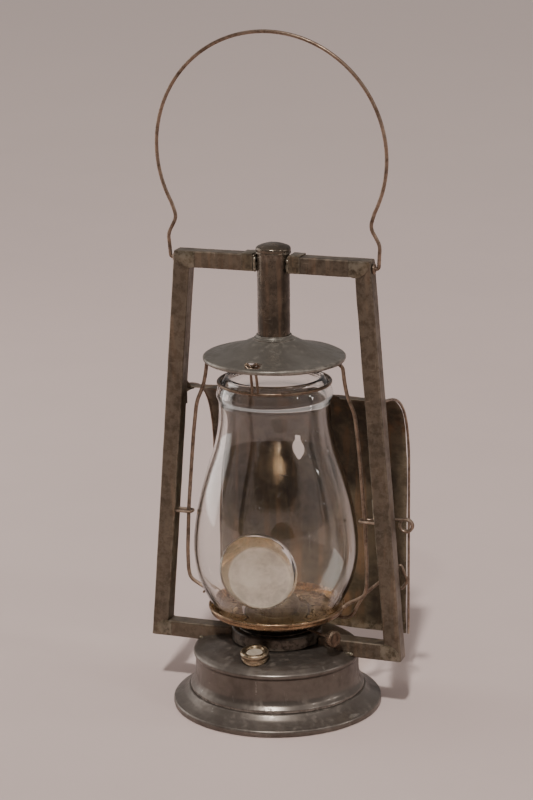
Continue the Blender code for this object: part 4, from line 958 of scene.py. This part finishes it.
def make_canopy():
    """Smoke canopy with its curled rim, notched for the retainer, and its collar."""
    line = [(0.0152, 0.2807), (0.0180, 0.2796), (0.0250, 0.2762), (0.0350, 0.2727), (0.0440, 0.2702),
            (0.0490, 0.2690), (0.0504, 0.2687)]
    curl = [(0.0508 + 0.0016 * math.cos(math.radians(a)), 0.2667 + 0.0019 * math.sin(math.radians(a)))
            for a in range(70, -230, -20)]
    sheet = eased(line, 3) + [Vector(point) for point in curl]
    canopy = turned([(p[0], p[1]) for p in walled(sheet, -0.0005)], 120)
    tool = block((-0.0054, -0.0484, 0.2640), (0.0054, -0.0400, 0.2780))
    cut(canopy, tool)
    dented(canopy, 0.00040, 0.020, 4.0)
    done(canopy, "smoke_canopy", "globe_carriage", "canopy_tin", CANOPY, "canopy", "canopy_edge_wire")
    line = [(0.0122, 0.2722), (0.0132, 0.2722), (0.0132, 0.2806), (0.0150, 0.2809), (0.0152, 0.2814),
            (0.0144, 0.2819), (0.0136, 0.2822), (0.0132, 0.2830), (0.0131, 0.2836), (0.0127, 0.2839),
            (0.0122, 0.2838)]
    sleeve = turned([(p.x, p.y) for p in rounded(line, 0.0005, 3)], 72)
    dented(sleeve, 0.0003, 0.006, 2.0)
    done(sleeve, "canopy_collar", "globe_carriage", "canopy_tin", CANOPY, "canopy_sleeve")


def make_retainer():
    """Ring over the top of the globe, its two ends twisted into a knot above the canopy."""
    hoop = wire(ring(0.0412, 0.2483, 96), 0.0013, closed=True, roundness=5)
    y = -0.0412
    legs = [(-0.0021, y, 0.2483), (-0.0021, y - 0.0012, 0.2560), (-0.0018, y - 0.0036, 0.2645),
            (-0.0008, y - 0.0050, 0.2690), (0.0014, y - 0.0058, 0.2712), (0.0036, y - 0.0058, 0.2722),
            (0.0046, y - 0.0050, 0.2708), (0.0034, y - 0.0044, 0.2692), (0.0006, y - 0.0046, 0.2694),
            (-0.0022, y - 0.0048, 0.2702), (-0.0044, y - 0.0052, 0.2716), (-0.0048, y - 0.0060, 0.2702),
            (-0.0030, y - 0.0064, 0.2686), (0.0002, y - 0.0058, 0.2684), (0.0018, y - 0.0036, 0.2645),
            (0.0021, y - 0.0012, 0.2560), (0.0021, y, 0.2483)]
    knot = wire(eased(legs, 6), 0.0010, roundness=4)
    piece = joined(hoop, knot)
    done(piece, "globe_retaining_ring", "retainer", "rusty_wire", DARK_WIRE, "globe_retainer")


# ---------------------------------------------------------------- bail, staples and lever

def make_bail():
    """Carrying bail: a round crown, pinched in above two hooked feet, leaning a little."""
    centre = (0.0, 0.0, 0.4177)
    radius = 0.0873
    low = math.degrees(math.asin((0.3776 - centre[2]) / radius))
    crown = arc(centre, radius, low, 180.0 - low, 96)
    foot = [(0.0704, 0.0, BAIL_PIVOT), (0.0800, 0.0, BAIL_PIVOT), (0.0806, 0.0, 0.3465),
            (0.0812, 0.0, 0.3540), (0.0741, 0.0, 0.3670)]
    right = rounded(foot[:3], 0.0020)[:-1] + rounded(foot[2:] + [crown[0]], 0.0045, 8)[:-1]
    path = list(right) + [Vector(p) for p in crown] + [Vector(p) for p in mirrored(right[::-1], -1.0)]
    bail = wire(path, 0.00135, roundness=5)
    lean = Matrix.Translation((0.0, 0.0, BAIL_PIVOT)) @ Matrix.Rotation(math.radians(3.7), 4, "X")
    moved(bail, lean @ Matrix.Translation((0.0, 0.0, -BAIL_PIVOT)))
    done(bail, "carrying_bail", "bail", "rusty_wire", WIRE, "bail")


def make_staples():
    """Guide loops for the guard wires: a plain one on the left, a coiled one on the right."""
    half = 0.0034
    height = 0.1425
    reach = side_inner(height) + 0.0004
    loop = [(reach, half, height), (0.0665, half, height), (0.0665, -half, height), (reach, -half, height)]
    left = wire(rounded(mirrored(loop, -1.0), 0.0032, 8), 0.0011)
    done(left, "guide_loop_left", "lantern_body", "rusty_wire", WIRE, "guide_staple_left")
    height = 0.1475
    behind = TUBE_DEPTH / 2.0 + 0.0020
    reach = side_inner(height) + 0.0004
    radius = 0.0048
    middle = (side_outer(height) + radius + 0.0024, 0.0, height - radius + 0.0012)
    coil = arc(middle, radius, 90.0, -470.0, 60)
    drift = 0.0034
    turns = [(x, behind + drift * n / len(coil), z) for n, (x, _, z) in enumerate(coil)]
    path = [(reach, -half, height), (0.0660, -half, height), (0.0660, half, height),
            (0.0725, half + 0.0002, height), (0.0760, behind, height),
            (side_outer(height) + 0.0010, behind, height + 0.0008), turns[0]]
    tail = (side_outer(height) + 0.0036, behind + drift, middle[2] - radius - 0.0004)
    right = wire(rounded(path, 0.0028, 7)[:-1] + [Vector(p) for p in turns] + [Vector(tail)], 0.0011)
    done(right, "guide_loop_right", "lantern_body", "rusty_wire", WIRE, "guide_staple_right")
    top = height + 0.0180
    low = height + 0.0024
    outline = [(side_inner(top) - 0.0001, -0.0040, top), (side_inner(low) - 0.0001, -0.0040, low),
               (side_inner(low) - 0.0010, -0.0040, low), (side_inner(top) - 0.0010, -0.0040, top)]
    tab = plate(outline, (0.0, 0.0080, 0.0), 0.0003)
    done(tab, "guide_tab_right", "lantern_body", "bronze", SOLDER, "staple_plate_right")


def make_lever():
    """Bent wire lever that lifts the carriage, with one full turn round its pin."""
    depth = 0.0090
    pivot = Vector((0.0880, depth, 0.1040))
    loop = arc(pivot, 0.0030, 135.0, -225.0, 28)
    turns = [(x, depth + 0.0030 * n / len(loop), z) for n, (x, _, z) in enumerate(loop)]
    inner = [(0.0450, depth, 0.0676), (0.0530, depth, 0.0674), (0.0568, depth, 0.0700),
             (0.0655, depth, 0.0868), (pivot.x - 0.0090, depth, pivot.z - 0.0048)]
    back = depth + 0.0030
    outer = [(0.0935, back, 0.1128), (0.0985, back, 0.0996), (0.0942, back, 0.0936), (0.0900, back, 0.0938)]
    path = rounded(inner + [turns[0]], 0.0036, 7)[:-1] + [Vector(p) for p in turns]
    path += rounded([turns[-1]] + outer, 0.0026, 7)[1:]
    done(wire(path, 0.0012, roundness=5), "globe_lifting_lever", "lever", "rusty_wire", WIRE, "lift_lever")


# ---------------------------------------------------------------- hood

def make_hood():
    """Bent hood sheet with its notch round the globe, its keyhole, ears and rolled edges."""
    line = [(0.0140, 0.2352), (0.0300, 0.2329), (0.0420, 0.2299), (0.0510, 0.2264), (0.0590, 0.2215),
            (0.0660, 0.2150), (0.0715, 0.2068), (0.0755, 0.1970), (0.0782, 0.1860), (0.0798, 0.1740),
            (0.0800, 0.1500), (0.0800, 0.1200), (0.0800, 0.0900), (0.0800, 0.0600), (0.0800, 0.0335)]
    smooth = eased(line, 3)
    points = [(-HOOD_HALF, p[0], p[1]) for p in walled(smooth, -HOOD_WALL)]
    hood = draw(points + [points[0]])
    bpy.ops.mesh.remove_doubles(threshold=FINE)
    count = 44
    step = (2.0 * HOOD_HALF / count, 0.0, 0.0)
    for _ in range(count):
        bpy.ops.mesh.extrude_region_move(TRANSFORM_OT_translate={"value": step})
    bpy.ops.mesh.edge_face_add()
    clear_bench()
    bm = bmesh.new()
    bm.from_mesh(hood.data)
    bmesh.ops.holes_fill(bm, edges=[edge for edge in bm.edges if edge.is_boundary])
    bm.to_mesh(hood.data)
    bm.free()
    clean(hood)
    notch = [(0.0, 0.2000), (0.0475, 0.2000), (0.0475, 0.2500), (0.0, 0.2500)]
    cut(hood, turned(notch, 120, closed=False))
    hole = []
    for x, z in ((0.0030, 0.0102), (0.0030, 0.0058), (0.0052, 0.0036), (0.0060, 0.0), (0.0052, -0.0036),
                 (0.0032, -0.0064), (0.0010, -0.0095)):
        hole.append((KEYHOLE_X + x, 0.0760, KEYHOLE_Z + z))
    hole += [(2.0 * KEYHOLE_X - x, y, z) for x, y, z in hole[::-1]]
    cut(hood, plate(rounded(hole + [hole[0]], 0.0014, 3)[:-1], (0.0, 0.0080, 0.0)))
    dented(hood, 0.0010, 0.034, 7.0)
    dented(hood, 0.00035, 0.009, 3.0)
    soften(hood, 40.0)
    done(hood, "reflector_hood", "hood", "hood_tin", HOOD, "hood_shell")
    for side, hand in SIDES:
        tip = side * HOOD_HALF
        root = 0.2352 - SHEET
        ear = [(tip, 0.0141, root), (tip - side * 0.0070, 0.0141, root),
               (tip - side * 0.0012, 0.0141, 0.2418), (tip, 0.0141, 0.2420)]
        done(plate(ear, (0.0, 0.0008, 0.0), 0.0002), "hood_ear_" + hand, "hood", "hood_tin", HOOD)
        edge = side * (HOOD_HALF + 0.0016)
        path = [(edge, p.x, p.y) for p in smooth]
        roll = wire(path, 0.0010, roundness=4)
        done(dented(roll, 0.0001, 0.012, side), "hood_rolled_edge_" + hand, "hood", "rusty_wire", WIRE,
             "hood_edge_wire_" + hand)


# ---------------------------------------------------------------- nodes kept as packed

def dress_kept_nodes():
    """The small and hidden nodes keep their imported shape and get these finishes."""
    kept = {
        "tank_bottom": FOUNT, "filler_neck": BRASS, "burner_collar": SMOKED_BRASS,
        "burner_body": SMOKED_BRASS, "wick_tube": SMOKED_BRASS, "wick": WICK, "wick_shaft": WIRE,
        "lever_pin": WIRE, "hood_cleat_left": JAPANNED, "hood_cleat_right": JAPANNED,
        "hood_lower_clip": JAPANNED}
    for node, finish in kept.items():
        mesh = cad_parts[node].data
        mesh.materials.clear()
        mesh.materials.append(finish)


# ---------------------------------------------------------------- room, light and camera

def make_room():
    """Pale paper floor with painted shade that darkens it away from the lantern, and a room brighter behind
    and above.
    """
    clear_bench()
    bpy.ops.mesh.primitive_plane_add(size=30.0, location=(0.0, 0.0, -0.0002))
    floor = bpy.context.object
    floor.name = "studio_floor"
    finish, tree, shader, place = new_finish("pale_floor_paper")
    cloud = effect(tree, "cloudy_patches", place, Scale=3.0)["Mask"]
    paper = tint(tree, cloud, (0.606, 0.486, 0.452), (0.620, 0.497, 0.463))
    depth = put(tree, "SeparateXYZ", Vector=place)
    # Painted shade: the paper darkens towards the back to stand for the light falling off away from the
    # lantern.
    far = between(tree, depth.outputs["Y"], -0.4, 5.5)
    feed(tree, shader.inputs["Base Color"], tint(tree, far, paper, (0.470, 0.392, 0.366)))
    feed(tree, shader.inputs["Roughness"], between(tree, cloud, 0.0, 1.0, 0.85, 0.92))
    fibre = put(tree, "TexNoise", Vector=place, Scale=900.0, Detail=3.0)
    bump = put(tree, "Bump", Strength=0.05, Distance=0.0002, Height=fibre.outputs[0])
    feed(tree, shader.inputs["Normal"], bump.outputs[0])
    floor.data.materials.append(finish)
    world = bpy.data.worlds.new("room")
    world.use_nodes = True
    sky = world.node_tree
    background = sky.nodes["Background"]
    ways = put(sky, "SeparateXYZ", Vector=put(sky, "TexCoord").outputs["Generated"])
    behind = between(sky, ways.outputs["Y"], -0.75, 0.35)
    overhead = between(sky, ways.outputs["Z"], 0.25, 0.85)
    share = sums(sky, "ADD", behind, overhead)
    feed(sky, background.inputs["Color"], tint(sky, share, (0.22, 0.19, 0.18), (0.95, 0.86, 0.83)))
    background.inputs["Strength"].default_value = 0.33
    bpy.context.scene.world = world


def bearing(turn, rise):
    """The way towards a lamp: turn is from the front towards the right, in degrees."""
    turn = math.radians(turn)
    rise = math.radians(rise)
    return Vector((math.sin(turn) * math.cos(rise), -math.cos(turn) * math.cos(rise), math.sin(rise)))


def lamp(name, turn, rise, distance, aim, width, height, power):
    """A rectangular lamp round the lantern."""
    clear_bench()
    aim = Vector(aim)
    place = aim + distance * bearing(turn, rise)
    bpy.ops.object.light_add(type="AREA", location=place)
    made = bpy.context.object
    made.name = name
    made.data.shape = "RECTANGLE"
    made.data.size = width
    made.data.size_y = height
    made.data.energy = power
    made.data.color = (1.0, 0.97, 0.94)
    made.rotation_euler = (aim - place).to_track_quat("-Z", "Y").to_euler()


def make_lights():
    """A broad high key, a softbox at the left and two small glints at the right."""
    clear_bench()
    bpy.ops.object.light_add(type="SUN")
    key = bpy.context.object
    key.name = "key_lamp"
    key.data.energy = 2.6
    key.data.angle = math.radians(3.6)
    key.data.color = (1.0, 0.965, 0.93)
    key.rotation_euler = bearing(11.0, 51.5).to_track_quat("Z", "Y").to_euler()
    lamp("left_softbox", -97.0, 12.0, 1.5, FRONT, 1.1, 1.2, 8.0)
    lamp("right_strip", 100.0, 14.0, 1.6, FRONT, 0.12, 0.22, 2.4)
    lamp("right_glint", 70.0, 30.0, 1.8, (0.0, 0.0, 0.20), 0.10, 0.10, 3.0)


def make_camera():
    """A long lens in front and a little to the right, looking slightly down."""
    clear_bench()
    turn = math.radians(20.03)
    roll = math.radians(-0.622)
    right = Vector((math.cos(turn), math.sin(turn), 0.0))
    place = Vector((0.5973, -1.6559, 0.6950))
    target = right * -0.00608 + Vector((0.0, 0.0, 0.23398))
    back = (place - target).normalized()
    up = back.cross(right).normalized()
    side = math.cos(roll) * right + math.sin(roll) * up
    top = -math.sin(roll) * right + math.cos(roll) * up
    bpy.ops.object.camera_add(location=place)
    camera = bpy.context.object
    camera.matrix_world = Matrix(((side.x, top.x, back.x, place.x), (side.y, top.y, back.y, place.y),
                                  (side.z, top.z, back.z, place.z), (0.0, 0.0, 0.0, 1.0)))
    camera.data.sensor_fit = "VERTICAL"
    sensor = 24.0
    camera.data.sensor_height = sensor
    camera.data.lens = sensor / (2.0 * math.tan(math.radians(18.353) / 2.0))
    camera.data.clip_start = 0.05
    camera.data.clip_end = 60.0
    bpy.context.scene.camera = camera


for make in (make_foot, make_fount, make_filler, make_burner, make_knob, make_frame, make_crossbar_straps,
             make_solder, make_chimney, make_bosses, make_globe, make_plate, make_guards, make_canopy,
             make_retainer, make_bail, make_staples, make_lever, make_hood, dress_kept_nodes, make_room,
             make_lights, make_camera):
    make()
